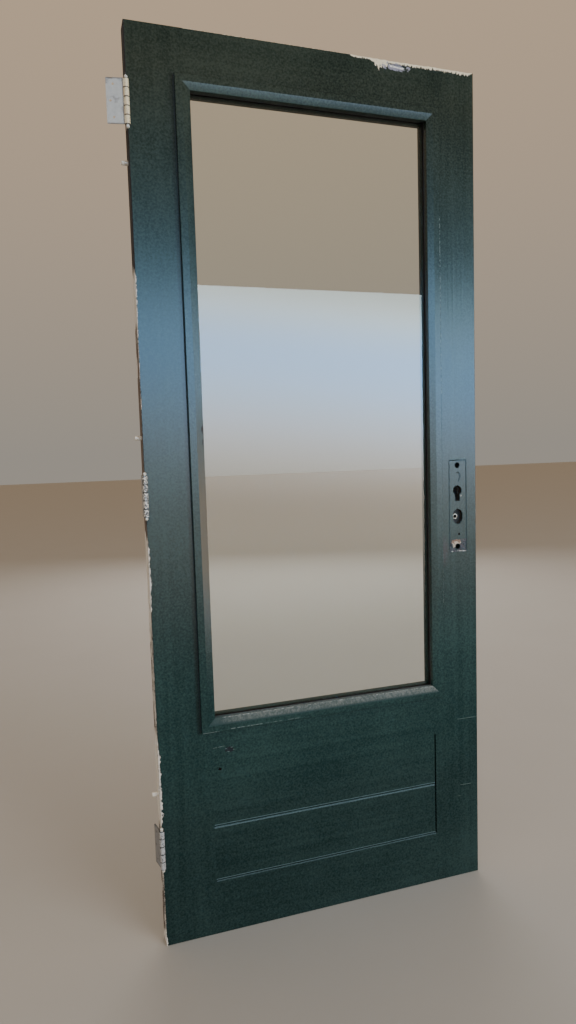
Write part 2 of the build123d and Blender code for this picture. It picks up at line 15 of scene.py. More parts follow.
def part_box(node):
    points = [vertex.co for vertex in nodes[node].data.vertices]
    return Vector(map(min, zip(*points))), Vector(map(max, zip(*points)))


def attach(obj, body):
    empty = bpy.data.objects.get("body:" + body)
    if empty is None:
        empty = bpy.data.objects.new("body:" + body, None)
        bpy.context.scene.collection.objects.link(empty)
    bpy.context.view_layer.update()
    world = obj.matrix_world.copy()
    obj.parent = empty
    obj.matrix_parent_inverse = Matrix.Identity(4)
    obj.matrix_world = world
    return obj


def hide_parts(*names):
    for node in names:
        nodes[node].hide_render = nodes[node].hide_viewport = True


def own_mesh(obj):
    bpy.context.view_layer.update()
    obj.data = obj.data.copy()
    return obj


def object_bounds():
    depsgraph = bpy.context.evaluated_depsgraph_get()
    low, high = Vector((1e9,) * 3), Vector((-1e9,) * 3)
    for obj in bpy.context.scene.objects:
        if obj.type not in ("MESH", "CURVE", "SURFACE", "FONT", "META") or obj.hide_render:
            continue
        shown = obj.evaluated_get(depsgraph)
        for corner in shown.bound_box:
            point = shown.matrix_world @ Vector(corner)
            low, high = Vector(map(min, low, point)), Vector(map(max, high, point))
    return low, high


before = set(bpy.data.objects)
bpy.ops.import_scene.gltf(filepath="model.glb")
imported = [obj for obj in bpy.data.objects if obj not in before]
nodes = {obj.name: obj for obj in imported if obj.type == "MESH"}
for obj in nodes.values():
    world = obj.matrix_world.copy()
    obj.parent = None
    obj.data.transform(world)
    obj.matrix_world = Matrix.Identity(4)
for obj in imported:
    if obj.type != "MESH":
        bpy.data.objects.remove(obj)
cad_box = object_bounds()
print(len(nodes), "pieces, box", [[round(v, 4) for v in corner] for corner in cad_box])

# %% [markdown]
# Every wear mark sits at a place on the door, so the places come first. The edges of the
# leaf are read from the model, and marks are then given in millimetres as they would be
# measured with a tape: from the middle of the leaf sideways and up from its foot.

# %% Places on the leaf
mm = 0.001
hinge_edge, front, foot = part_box("hinge_stile")[0]
lock_edge, _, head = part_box("lock_stile")[1]
hinge_middles = {"bottom": 230.5, "middle": 1017.0, "top": 1817.5}
holes_x = 353.0
spindle_z, cylinder_z = 930.0, 995.0
plate_screw_zs = (855.8, 1056.8)
plate_left, plate_right, plate_low, plate_high = 330.7, 377.3, 842.5, 1068.6
print("leaf", round((lock_edge - hinge_edge) / mm), "by", round((head - foot) / mm), "mm")


def spot(x, z, y=None):
    """A point on the front face from millimetres across and up."""
    return (x * mm, front if y is None else y * mm, z * mm)


# %% [markdown]
# A material is a small graph of nodes. These helpers keep each line of a graph short: they add
# a node, do a sum on numbers or vectors, stretch a range, make noise and mix by a mask.

# %% Helpers for material graphs
def add_node(tree, kind, links=None, **settings):
    """A node with its own settings. links gives sockets by name or number: a value or a socket."""
    made = tree.nodes.new(kind)
    for key, value in settings.items():
        setattr(made, key, value)
    for key, value in (links or {}).items():
        if isinstance(value, bpy.types.NodeSocket):
            tree.links.new(value, made.inputs[key])
        else:
            made.inputs[key].default_value = value
    return made


def calc(tree, operation, *values, clamp=False):
    """One sum on numbers or sockets."""
    links = dict(enumerate(values))
    return add_node(tree, "ShaderNodeMath", links, operation=operation, use_clamp=clamp).outputs[0]


def vector_calc(tree, operation, a, b=(0.0, 0.0, 0.0), out=0):
    """One sum on vectors."""
    return add_node(tree, "ShaderNodeVectorMath", {0: a, 1: b}, operation=operation).outputs[out]


def ramp(tree, value, low, high, first=0.0, last=1.0, smooth=False):
    """A value that runs from first to last while its input runs from low to high."""
    links = {"Value": value, "From Min": low, "From Max": high, "To Min": first, "To Max": last}
    return add_node(tree, "ShaderNodeMapRange", links,
                    interpolation_type="SMOOTHSTEP" if smooth else "LINEAR").outputs[0]


def speckle(tree, place, scale, detail=3.0, rough=0.5):
    """Noise between 0 and 1 at a place."""
    links = {"Vector": place, "Scale": scale, "Detail": detail, "Roughness": rough}
    return add_node(tree, "ShaderNodeTexNoise", links).outputs[0]


def blend(tree, mask, under, over):
    """The colour over laid on the colour under where the mask is 1."""
    made = add_node(tree, "ShaderNodeMix", {"Factor": mask}, data_type="RGBA")
    for socket, value in ((made.inputs["A"], under), (made.inputs["B"], over)):
        if isinstance(value, bpy.types.NodeSocket):
            tree.links.new(value, socket)
        else:
            socket.default_value = (*value, 1)
    return made.outputs["Result"]


def blend_value(tree, mask, under, over):
    """The number over laid on the number under where the mask is 1."""
    made = add_node(tree, "ShaderNodeMix", {"Factor": mask, "A": under, "B": over}, data_type="FLOAT")
    return made.outputs["Result"]


def new_group(name, inputs, outputs):
    """An empty node group with named sockets. inputs maps a name to its first value."""
    group = bpy.data.node_groups.new(name, "ShaderNodeTree")
    for label, value in inputs.items():
        kind = "NodeSocketVector" if isinstance(value, tuple) else "NodeSocketFloat"
        socket = group.interface.new_socket(label, in_out="INPUT", socket_type=kind)
        socket.default_value = value
    for label in outputs:
        group.interface.new_socket(label, in_out="OUTPUT", socket_type="NodeSocketFloat")
    return group, group.nodes.new("NodeGroupInput").outputs, group.nodes.new("NodeGroupOutput").inputs


print("helpers ready")

# %% [markdown]
# Enamel put on with a brush dries in fine ridges along the stroke. Noise squeezed across the
# stroke and stretched along it gives them. The same ridges are needed on every timber, each
# with its own direction, so they are a node group with the stroke's fineness as an input.

# %% Brush strokes group
strokes_group, given, gives = new_group(
    "brush_strokes", {"Position": (0.0, 0.0, 0.0), "Grain": (1.0, 1.0, 1.0)}, ["Height", "Tone"])
scaled = vector_calc(strokes_group, "MULTIPLY", given["Position"], given["Grain"])
fine = speckle(strokes_group, scaled, 1.0, rough=0.6)
broad = speckle(strokes_group, scaled, 0.22, detail=1.0)
cloud = speckle(strokes_group, given["Position"], 4.0)
dust = speckle(strokes_group, given["Position"], 210.0, detail=2.0, rough=0.7)
ridge = calc(strokes_group, "MULTIPLY_ADD", broad, 0.6, calc(strokes_group, "MULTIPLY", fine, 0.4))
tone = calc(strokes_group, "MULTIPLY_ADD", cloud, 0.3, calc(strokes_group, "MULTIPLY", ridge, 0.2))
tone = calc(strokes_group, "MULTIPLY_ADD", dust, 0.5, tone)
strokes_group.links.new(ridge, gives["Height"])
strokes_group.links.new(tone, gives["Tone"])
print("made", strokes_group.name)

# %% [markdown]
# A chip, a stain or a knot is a patch with a ragged rim. The patch group measures how far a
# point is from the patch's middle in units of its half sizes, shakes that distance with noise
# and cuts it off at one.

# %% Patch group
patch_group, given, gives = new_group(
    "ragged_patch",
    {"Position": (0.0, 0.0, 0.0), "Centre": (0.0, 0.0, 0.0), "Half Size": (0.01, 0.01, 0.01),
     "Raggedness": 0.4, "Grain": 300.0, "Softness": 0.1},
    ["Mask"])
away = vector_calc(patch_group, "SUBTRACT", given["Position"], given["Centre"])
away = vector_calc(patch_group, "DIVIDE", away, given["Half Size"])
reach = vector_calc(patch_group, "LENGTH", away, out="Value")
shake = speckle(patch_group, given["Position"], given["Grain"])
shake = calc(patch_group, "MULTIPLY", calc(patch_group, "SUBTRACT", shake, 0.5), given["Raggedness"])
reach = calc(patch_group, "MULTIPLY_ADD", shake, 2.0, reach)
rim = calc(patch_group, "ADD", 1.0, given["Softness"])
inside = ramp(patch_group, reach, rim, 1.0, smooth=True)
patch_group.links.new(inside, gives["Mask"])
print("made", patch_group.name)

# %% [markdown]
# A scratch is a thin line between two points. The nearest point on the line is found with a
# dot product, as in school geometry, and noise lets the line wander and fade.

# %% Scratch group
scratch_group, given, gives = new_group(
    "scratch",
    {"Position": (0.0, 0.0, 0.0), "Start": (0.0, 0.0, 0.0), "End": (0.1, 0.0, 0.0),
     "Width": 0.001, "Wander": 0.001, "Breaks": 0.3},
    ["Mask"])
run = vector_calc(scratch_group, "SUBTRACT", given["End"], given["Start"])
to_point = vector_calc(scratch_group, "SUBTRACT", given["Position"], given["Start"])
share = calc(scratch_group, "DIVIDE",
             vector_calc(scratch_group, "DOT_PRODUCT", to_point, run, "Value"),
             vector_calc(scratch_group, "DOT_PRODUCT", run, run, "Value"), clamp=True)
nearest = add_node(scratch_group, "ShaderNodeVectorMath", {0: run, "Scale": share},
                   operation="SCALE").outputs[0]
gap = vector_calc(scratch_group, "LENGTH",
                  vector_calc(scratch_group, "SUBTRACT", to_point, nearest), out="Value")
wander = speckle(scratch_group, given["Position"], 90.0, detail=2.0)
wander = calc(scratch_group, "MULTIPLY", calc(scratch_group, "SUBTRACT", wander, 0.5), given["Wander"])
gap = calc(scratch_group, "ABSOLUTE", calc(scratch_group, "ADD", gap, wander))
line = ramp(scratch_group, gap, given["Width"], calc(scratch_group, "MULTIPLY", given["Width"], 0.4))
whole = ramp(scratch_group, speckle(scratch_group, given["Position"], 160.0, detail=2.0),
             calc(scratch_group, "SUBTRACT", given["Breaks"], 0.1),
             calc(scratch_group, "ADD", given["Breaks"], 0.1))
scratch_group.links.new(calc(scratch_group, "MULTIPLY", line, whole), gives["Mask"])
print("made", scratch_group.name)

# %% [markdown]
# Paint breaks away first along an arris, the sharp corner of the timber. Depth is how far a
# point lies from the arris, and the strip of lost paint is as wide as a width given from
# outside, made ragged by noise.

# %% Worn arris group
arris_group, given, gives = new_group(
    "worn_arris",
    {"Position": (0.0, 0.0, 0.0), "Depth": 0.0, "Width": 0.003, "Ragged": 0.5, "Grain": 200.0},
    ["Mask"])
teeth = speckle(arris_group, given["Position"], given["Grain"], rough=0.65)
teeth = calc(arris_group, "MULTIPLY_ADD", teeth, 2.0, -1.0)
teeth = calc(arris_group, "MULTIPLY_ADD", teeth, given["Ragged"], 1.0)
strip = calc(arris_group, "MULTIPLY", given["Width"], teeth)
worn = ramp(arris_group, calc(arris_group, "SUBTRACT", strip, given["Depth"]), -0.0002, 0.0003)
arris_group.links.new(worn, gives["Mask"])
print("made", arris_group.name)

# %% [markdown]
# The colours are mixed once and named for what they show on the door, and a few of them are
# painted light and shade, as the notes beside them say. The enamel comes in pairs, a low and a
# high tone: clean paint, the deeper green round the middle rail, and towards the head a dull
# brownish film that is partly dust and partly painted shade with a warm reflection.

# %% Paint colours
enamel_green = (0.0055, 0.0235, 0.0245)
enamel_pale = (0.024, 0.056, 0.056)
deep_low = (0.0080, 0.0310, 0.0320)
deep_high = (0.0270, 0.0700, 0.0690)
# The film colours are partly dust and partly painted shade with a warm reflection near the head.
film_and_shade_low = (0.013, 0.020, 0.012)
film_and_shade_high = (0.042, 0.052, 0.034)
old_cream = (0.88, 0.79, 0.58)
chalk_white = (0.88, 0.88, 0.85)
bare_timber = (0.56, 0.48, 0.39)
torn_timber = (0.26, 0.15, 0.09)
red_stain = (0.15, 0.040, 0.032)
lilac_grey = (0.30, 0.29, 0.36)
# Grime is dirt in most places, and also painted shade beside the left moulding and in the follower's square
# hole.
grime_and_shade = (0.005, 0.006, 0.006)
brown_grime = (0.045, 0.030, 0.018)
dark_brown = (0.022, 0.016, 0.011)
raw_brown = (0.10, 0.075, 0.055)
rubbed_timber = (0.26, 0.20, 0.155)
# Pale scuff marks real scuffs, and also painted highlights on a paint ridge and along a moulding's arris.
pale_scuff_and_highlight = (0.12, 0.17, 0.16)
# The pale line is a painted highlight along a moulding's arris.
arris_highlight = (0.34, 0.42, 0.42)
# The joint line is a painted highlight on the lips of the vee joints.
joint_lip_highlight = (0.13, 0.22, 0.25)
# Soot black colours a dark knot and dirt in a joint, and is also the painted shadow under chipped paint.
soot_black_and_shadow = (0.0015, 0.002, 0.002)
# Settled dust is dust on the up-facing slope and also its painted lighter tone from above; the pale flecks
# are painted highlights.
settled_dust_and_light = (0.190, 0.218, 0.216)
slope_highlight_flecks = (0.50, 0.55, 0.55)
# Slope brown is a painted reflection on the left moulding's slope.
slope_brown_reflection = (0.220, 0.188, 0.142)
raw_mauve = (0.085, 0.070, 0.080)
print("colours mixed")

# %% [markdown]
# One class keeps a painted material together while its marks are laid on. It starts as clean
# enamel and each call adds a layer over what is there: colour, gloss and depth. The layers go
# on in the order that they came onto the door.

# %% Painted timber
upright = (330.0, 330.0, 7.0)
level = (7.0, 330.0, 330.0)
mark_reach = 5 * mm


class Painted:
    """Brushed enamel on timber, with layers of wear."""

    def __init__(self, name, grain):
        self.material = bpy.data.materials.new(name)
        self.material.use_nodes = True
        self.tree = self.material.node_tree
        self.shader = self.tree.nodes["Principled BSDF"]
        self.shader.inputs["Specular IOR Level"].default_value = 0.24
        self.place = add_node(self.tree, "ShaderNodeTexCoord").outputs["Object"]
        self.apart = add_node(self.tree, "ShaderNodeSeparateXYZ", {0: self.place}).outputs
        strokes = self.use(strokes_group, Position=self.place, Grain=grain)
        patchy = ramp(self.tree, strokes["Tone"], 0.41, 0.60)
        self.colour = blend(self.tree, patchy, enamel_green, enamel_pale)
        self.rough = calc(self.tree, "MULTIPLY_ADD", strokes["Tone"], 0.10, 0.15)
        self.height = calc(self.tree, "MULTIPLY", strokes["Height"], 0.0003)
        # Towards the head the enamel turns to a dull brownish film: partly dust, partly painted shade with a
        # warm reflection.
        filmed_and_shaded = ramp(self.tree, self.apart["Z"], 1.5, 1.9, last=0.85)
        self.colour = blend(self.tree, filmed_and_shaded, self.colour, blend(self.tree, patchy, film_and_shade_low, film_and_shade_high))
        deep = self.along("Z", (0, 0.0), (280, 0.0), (400, 1.0), (600, 1.0), (760, 0.0), (1980, 0.0))
        self.colour = blend(self.tree, deep, self.colour, blend(self.tree, patchy, deep_low, deep_high))

    def use(self, group, **values):
        """Places a node group and returns its outputs."""
        made = self.tree.nodes.new("ShaderNodeGroup")
        made.node_tree = group
        for label, value in values.items():
            socket = made.inputs[label.replace("_", " ")]
            if isinstance(value, bpy.types.NodeSocket):
                self.tree.links.new(value, socket)
            else:
                socket.default_value = value
        return made.outputs

    def layer(self, mask, colour, rough=0.6, depth=0.0, strength=1.0):
        """Lays a colour and a gloss where the mask is 1, and sinks the surface by depth."""
        if strength < 1.0:
            mask = calc(self.tree, "MULTIPLY", mask, strength)
        self.colour = blend(self.tree, mask, self.colour, colour)
        self.rough = blend_value(self.tree, mask, self.rough, rough)
        if depth:
            sunk = calc(self.tree, "MULTIPLY", mask, -depth)
            self.height = calc(self.tree, "ADD", self.height, sunk)

    def patch(self, x, z, half_w, half_h, colour, ragged=0.4, grain=300.0, soft=0.1,
              rough=0.6, depth=0.0, strength=1.0, y=None):
        """A chip or stain on the front face, in millimetres."""
        mask = self.use(patch_group, Position=self.place, Centre=spot(x, z, y),
                        Half_Size=(half_w * mm, mark_reach, half_h * mm),
                        Raggedness=ragged, Grain=grain, Softness=soft)["Mask"]
        self.layer(mask, colour, rough, depth, strength)

    def scratch(self, x0, z0, x1, z1, width, colour, wander=1.0, breaks=0.35, rough=0.55,
                depth=0.0, strength=1.0, y=None):
        """A thin line on the front face, in millimetres."""
        mask = self.use(scratch_group, Position=self.place, Start=spot(x0, z0, y), End=spot(x1, z1, y),
                        Width=width * mm, Wander=wander * mm, Breaks=breaks)["Mask"]
        self.layer(mask, colour, rough, depth, strength)

    def along(self, axis, *stops):
        """A value that follows (place in mm, value) stops along an axis."""
        curve_node = add_node(self.tree, "ShaderNodeFloatCurve")
        low = stops[0][0]
        high = stops[-1][0]
        curve = curve_node.mapping.curves[0]
        top = max(value for _, value in stops)
        while len(curve.points) < len(stops):
            curve.points.new(0.5, 0.5)
        for point, (place, value) in zip(curve.points, stops):
            point.location = ((place - low) / (high - low), value / top)
            point.handle_type = "VECTOR"
        curve_node.mapping.update()
        share = ramp(self.tree, self.apart[axis], low * mm, high * mm)
        self.tree.links.new(share, curve_node.inputs["Value"])
        return calc(self.tree, "MULTIPLY", curve_node.outputs[0], top)

    def arris(self, depth, width, colour, ragged=0.5, grain=200.0, rough=0.6, sink=0.0,
              strength=1.0, stretch=(1.0, 1.0, 1.0)):
        """Paint lost along an arris. depth and width are in metres."""
        drawn = vector_calc(self.tree, "MULTIPLY", self.place, stretch)
        mask = self.use(arris_group, Position=drawn, Depth=depth, Width=width,
                        Ragged=ragged, Grain=grain)["Mask"]
        self.layer(mask, colour, rough, sink, strength)

    def done(self):
        """Joins the layers to the shader."""
        self.tree.links.new(self.colour, self.shader.inputs["Base Color"])
        self.tree.links.new(self.rough, self.shader.inputs["Roughness"])
        bump = add_node(self.tree, "ShaderNodeBump",
                        {"Height": self.height, "Distance": 1.0, "Strength": 0.6})
        self.tree.links.new(bump.outputs[0], self.shader.inputs["Normal"])
        print("finished", self.material.name, "with", len(self.tree.nodes), "nodes")
        return self.material


print("strokes run", upright, "on uprights and", level, "on level timbers")

# %% [markdown]
# The hinge stile carries the heaviest wear. Its narrow edge face is old chalk paint that flakes
# off brown timber, thick on some stretches and nearly gone on others. A list of stops says how
# much chalk is left at each height, and noise drawn out lengthways decides which flakes stay.

# %% Hinge edge flakes
hinge_paint = Painted("hinge_stile_paint", upright)
tree = hinge_paint.tree
inward = calc(tree, "SUBTRACT", hinge_paint.apart["X"], hinge_edge)
behind = calc(tree, "SUBTRACT", hinge_paint.apart["Y"], front)
edge_face = calc(tree, "LESS_THAN", inward, 0.7 * mm)
chalk_left = hinge_paint.along(
    "Z", (0, 0.85), (15, 0.8), (40, 0.35), (170, 0.35), (260, 0.65), (300, 1.0), (460, 1.0), (500, 0.45),
    (740, 0.45), (790, 1.0), (905, 1.0), (945, 0.2), (1080, 0.12), (1230, 0.15), (1290, 0.45), (1370, 0.5),
    (1400, 0.95), (1465, 0.95), (1500, 0.2), (1560, 0.06), (1980, 0.06))
lengthways = vector_calc(tree, "MULTIPLY", hinge_paint.place, (1.0, 1.0, 0.22))
flakes = speckle(tree, lengthways, 75.0, detail=5.0, rough=0.7)
kept = calc(tree, "SUBTRACT", calc(tree, "MULTIPLY_ADD", chalk_left, 0.46, 0.27), flakes)
kept = ramp(tree, kept, -0.012, 0.012)
soiled = blend(tree, flakes, dark_brown, raw_brown)
rubbed = hinge_paint.along(
    "Z", (0, 0.3), (900, 0.3), (950, 0.65), (1300, 0.65), (1400, 0.3), (1500, 0.0), (1980, 0.0))
soiled = blend(tree, rubbed, soiled, rubbed_timber)
hinge_paint.layer(edge_face, blend(tree, kept, soiled, chalk_white), rough=1.0)
print("flakes laid on the hinge edge")

# %% [markdown]
# The green on the face has broken back from the arris as well. The stops give the width of the
# lost strip in millimetres at each height, from a hair to six. A dark line goes under the
# white, because the broken edge of old paint throws a small shadow.

# %% Broken hinge arris
chip_stops = (
    (0, 4.2), (14, 3.0), (20, 0.9), (60, 1.0), (168, 0.7), (180, 0.5), (284, 0.6), (288, 3.6), (305, 4.4),
    (360, 5.0), (440, 4.6), (444, 6.0), (448, 2.6), (470, 2.4), (474, 0.9), (640, 0.7), (768, 0.7),
    (771, 3.0), (776, 3.2), (779, 0.8), (783, 2.2), (820, 3.0), (828, 5.4), (833, 3.4), (860, 3.6),
    (900, 2.6), (919, 1.4), (922, 0.4), (968, 0.3), (972, 4.0), (1060, 4.5), (1068, 0.4), (1090, 0.3),
    (1200, 0.4), (1205, 1.4), (1231, 1.6), (1233, 3.4), (1236, 0.4), (1260, 0.5), (1264, 1.0), (1384, 1.2),
    (1388, 2.2), (1440, 2.6), (1468, 3.4), (1478, 2.0), (1481, 0.1), (1868, 0.1), (1870, 1.6),
    (1880, 0.1), (1980, 0.1))
corner = calc(tree, "MAXIMUM", inward, behind)
chip_width = calc(tree, "MULTIPLY", hinge_paint.along("Z", *chip_stops), mm)
# A dark brown strip along the arris, widest towards the head: worn timber, and also painted shade where the
# edge falls into shadow.
brown_and_shade_width = hinge_paint.along(
    "Z", (0, 0.0), (925, 0.0), (935, 1.1), (1080, 1.1), (1230, 1.1), (1260, 0.2), (1476, 0.2), (1484, 1.8),
    (1980, 2.4))
hinge_paint.arris(corner, calc(tree, "MULTIPLY", brown_and_shade_width, mm), dark_brown, ragged=0.7, grain=150.0,
                  rough=1.0)
# Painted shadow: a near-black line under the white chips, thrown by the broken edge of old paint.
hinge_paint.arris(corner, calc(tree, "ADD", chip_width, 0.9 * mm), soot_black_and_shadow, ragged=1.7, grain=170.0,
                  rough=0.2, strength=0.85)
hinge_paint.arris(corner, chip_width, chalk_white, ragged=1.8, grain=170.0, sink=0.0004)
hinge_dirt = hinge_paint.use(patch_group, Position=hinge_paint.place, Centre=(hinge_edge, front, 0.990),
                             Half_Size=(0.006, 0.02, 0.034), Raggedness=1.5, Grain=210.0,
                             Softness=0.1)["Mask"]
hinge_paint.layer(hinge_dirt, grime_and_shade, rough=0.8, strength=0.5)
# Painted shade: a dark line and a wider faint band run down the stile beside the left moulding, where its
# side face and its shadow fall.
for x, width, rough, strength in ((-307.0, 1.7, 0.9, 0.7), (-311.5, 6.5, 0.22, 0.35)):
    hinge_paint.scratch(x, 483, x, 1885, width, grime_and_shade, wander=0.8, breaks=0.1, rough=rough,
                        strength=strength)
hinge_stile_paint = hinge_paint.done()

# %% [markdown]
# Along the leaf's head the green has come off the front arris and shows old cream paint with
# streaks that run down the face. The strip is only a hair wide at the left and widest at the
# bruise above the glass. The top rail and the lock stile share it, so it is a function.

# %% Worn head
head_stops = (
    (-405, 0.3), (-320, 0.6), (-180, 0.9), (90, 0.8), (96, 4.5), (140, 5.0), (150, 10.0), (158, 16.0),
    (176, 16.0), (186, 9.0), (224, 6.5), (262, 7.0), (330, 6.0), (390, 7.5), (398, 5.0), (405, 0.6))


def worn_head(paint):
    """The worn strip along the leaf's top edge: a brown hairline, then old cream paint."""
    drop = calc(paint.tree, "SUBTRACT", head, paint.apart["Z"])
    drop = calc(paint.tree, "MAXIMUM", drop, calc(paint.tree, "SUBTRACT", paint.apart["Y"], front))
    hairline = calc(paint.tree, "LESS_THAN", drop, 1.4 * mm)
    paint.layer(hairline, brown_grime, rough=0.7)
    depth = paint.along("X", *head_stops)
    streaks = (1.0, 1.0, 0.3)
    paint.arris(drop, calc(paint.tree, "MULTIPLY", depth, 1.25 * mm), grime_and_shade, ragged=1.6, grain=260.0,
                strength=0.7, stretch=streaks)
    paint.arris(drop, calc(paint.tree, "MULTIPLY", depth, mm), old_cream, ragged=1.6, grain=260.0,
                sink=0.0003, stretch=streaks)


print("head worn down to", max(width for _, width in head_stops), "mm")

# %% [markdown]
# The lock stile shows where the handle plate sat. The stains under it stop dead at the plate's
# edges, so their mask is a box, and noise within the box mottles them. They are thickest at
# the plate's foot.

# %% Stains under the handle plate
lock_paint = Painted("lock_stile_paint", upright)


def plate_area(paint, low, high, colour, grain, cut, rough, strength):
    """A mottled stain that stops at the outline of the plate that was taken off."""
    mask = calc(paint.tree, "LESS_THAN", paint.apart["X"], plate_right * mm)
    for axis, side, sense in (("X", plate_left, "GREATER_THAN"), ("Z", low, "GREATER_THAN"),
                              ("Z", high, "LESS_THAN")):
        mask = calc(paint.tree, "MULTIPLY", mask, calc(paint.tree, sense, paint.apart[axis], side * mm))
    mottle = ramp(paint.tree, speckle(paint.tree, paint.place, grain, rough=0.65), cut, cut + 0.08)
    outside = calc(paint.tree, "LESS_THAN", paint.apart["Y"], front + 0.3 * mm)
    mask = calc(paint.tree, "MULTIPLY", calc(paint.tree, "MULTIPLY", mask, mottle), outside)
    paint.layer(mask, colour, rough=rough, strength=strength)


lock_paint.patch(304, 848, 13, 20, red_stain, ragged=0.3, grain=40.0, soft=1.6, strength=0.17)
plate_area(lock_paint, plate_low, 874, raw_mauve, 150.0, 0.44, 0.7, 0.9)
plate_area(lock_paint, plate_low, 868, grime_and_shade, 190.0, 0.52, 0.8, 0.9)
plate_area(lock_paint, 874, 1030, grime_and_shade, 210.0, 0.60, 0.6, 0.55)
print("plate", round(plate_right - plate_left, 1), "by", round(plate_high - plate_low, 1), "mm")

# %% [markdown]
# Dirt has gathered in a thin line along three sides of the plate's outline. The line wavers
# and breaks, so each side is a scratch, sunk a little. At the foot the bolt hole has torn the
# paint and the timber: a ragged brown patch with paler bare wood over it.

# %% Outline of the plate and its broken hole
for x0, z0, x1, z1, width in ((plate_left, plate_low + 1, plate_left, plate_high - 1, 1.4),
                              (plate_right, plate_low + 4, plate_right, plate_high - 1, 1.4),
                              (plate_left, plate_high, plate_right, plate_high, 1.5)):
    lock_paint.scratch(x0, z0, x1, z1, width, grime_and_shade, wander=1.8, breaks=0.36, rough=0.9, depth=0.0003,
                       strength=0.6)
# Painted highlight: a pale line just above the plate, where the ridge of old paint catches the light.
lock_paint.scratch(plate_left + 4, plate_high + 5, plate_right - 2, plate_high + 5, 2.4, pale_scuff_and_highlight,
                   wander=2.5, breaks=0.45, strength=0.4)
lock_paint.scratch(350, plate_low + 2.5, 376, plate_low + 1, 1.2, chalk_white, wander=1.6, breaks=0.45,
                   strength=0.7)
lock_paint.patch(338, plate_low + 1.5, 2.2, 1.2, chalk_white, ragged=0.8, strength=0.5)
lock_paint.patch(352, 867.0, 15, 5.0, torn_timber, ragged=1.6, grain=180.0, soft=0.05, strength=0.9)
lock_paint.patch(350, 864.5, 9, 3.2, bare_timber, ragged=1.8, grain=260.0, soft=0.05)
lock_paint.patch(344, 858.5, 4, 5, bare_timber, ragged=1.4, grain=260.0, soft=0.05, strength=0.9)
lock_paint.patch(363.5, 981.5, 2.6, 2.0, bare_timber, ragged=0.9, strength=0.35)
print("outline and broken hole laid on")

# %% [markdown]
# Dirt has darkened the rims of the holes. Each hole gets a round or oval patch a little larger
# than itself, all from one table of places and half sizes. A crooked run of two short lines
# leads down from the small screw hole.

# %% Dirt round the holes
for x, z, half_w, half_h, ragged, grain, soft, strength in (
        (holes_x, plate_screw_zs[0], 7.3, 7.0, 0.25, 260.0, 0.05, 1.0),
        (holes_x, plate_screw_zs[1], 7.3, 7.0, 0.25, 260.0, 0.05, 1.0),
        (356.9, 886.5, 2.9, 2.7, 0.2, 300.0, 0.05, 1.0),
        (354, spindle_z, 13.2, 18.6, 0.2, 260.0, 0.05, 0.8),
        (holes_x, cylinder_z, 11.9, 11.7, 0.25, 260.0, 0.05, 0.8),
        (holes_x, 1039, 1.9, 1.9, 0.4, 300.0, 0.1, 1.0)):
    lock_paint.patch(x, z, half_w, half_h, grime_and_shade, ragged=ragged, grain=grain, soft=soft, rough=1.0,
                     strength=strength)
for x0, z0, x1, z1, strength in ((357, 1039, 361, 1030, 0.7), (361, 1030, 356, 1017, 0.6)):
    lock_paint.scratch(x0, z0, x1, z1, 2.0, grime_and_shade, wander=0.8, breaks=0.2, rough=0.9, strength=strength)
print("holes dirtied")

# %% [markdown]
# The stile has a dark mark beside the plate, level scratches lower down and one small white
# chip. Inside the bores the timber is bare and brown, so a patch that stays just under both
# faces colours their walls. The worn head is laid on last.

# %% Marks lower down, and the bores
lock_paint.patch(309, 1073, 2.5, 2.0, grime_and_shade, ragged=0.5, strength=0.7)
lock_paint.scratch(347, 415, 405, 414, 0.9, pale_scuff_and_highlight, breaks=0.45, strength=0.7)
lock_paint.scratch(355, 241, 384, 240, 0.8, pale_scuff_and_highlight, breaks=0.35, strength=0.9)
lock_paint.scratch(346, 213, 357, 212, 0.7, pale_scuff_and_highlight, breaks=0.45, strength=0.6)
lock_paint.patch(309, 530, 2.2, 1.6, chalk_white, ragged=0.5)
bores_middle, bores_half = (0.354, 0.0, 0.955), (0.026, 0.0185, 0.12)
in_bores = lock_paint.use(patch_group, Position=lock_paint.place, Centre=bores_middle,
                          Half_Size=bores_half, Raggedness=0.0, Grain=50.0, Softness=0.01)["Mask"]
lock_paint.layer(in_bores, brown_grime, rough=1.0)
worn_head(lock_paint)
lock_stile_paint = lock_paint.done()

# %% [markdown]
# The rails are brushed the other way. The top rail has a lilac-grey scuff in its worn head,
# made of one soft patch and a few short scratches that wander a lot.

# %% Top rail finish
top_paint = Painted("top_rail_paint", level)
worn_head(top_paint)
top_paint.patch(203, 1967.5, 25, 7, lilac_grey, ragged=1.2, grain=120.0, soft=0.2, strength=0.85)
for x0, z0, x1, z1, width, colour in (
        (186, 1964, 224, 1962, 2.2, lilac_grey), (196, 1960, 219, 1959, 1.6, lilac_grey),
        (190, 1967.5, 222, 1965, 2.2, chalk_white), (184, 1973, 215, 1972, 1.4, grime_and_shade),
        (200, 1970, 226, 1969.5, 1.2, grime_and_shade)):
    top_paint.scratch(x0, z0, x1, z1, width, colour, wander=3.0, breaks=0.36)
top_rail_paint = top_paint.done()

# %% [markdown]
# The middle rail has a knot that has bled and sunk, with pale flecks round it, and a smaller
# one below. A patch with a depth presses the knot in, which the light shows better than colour
# alone.

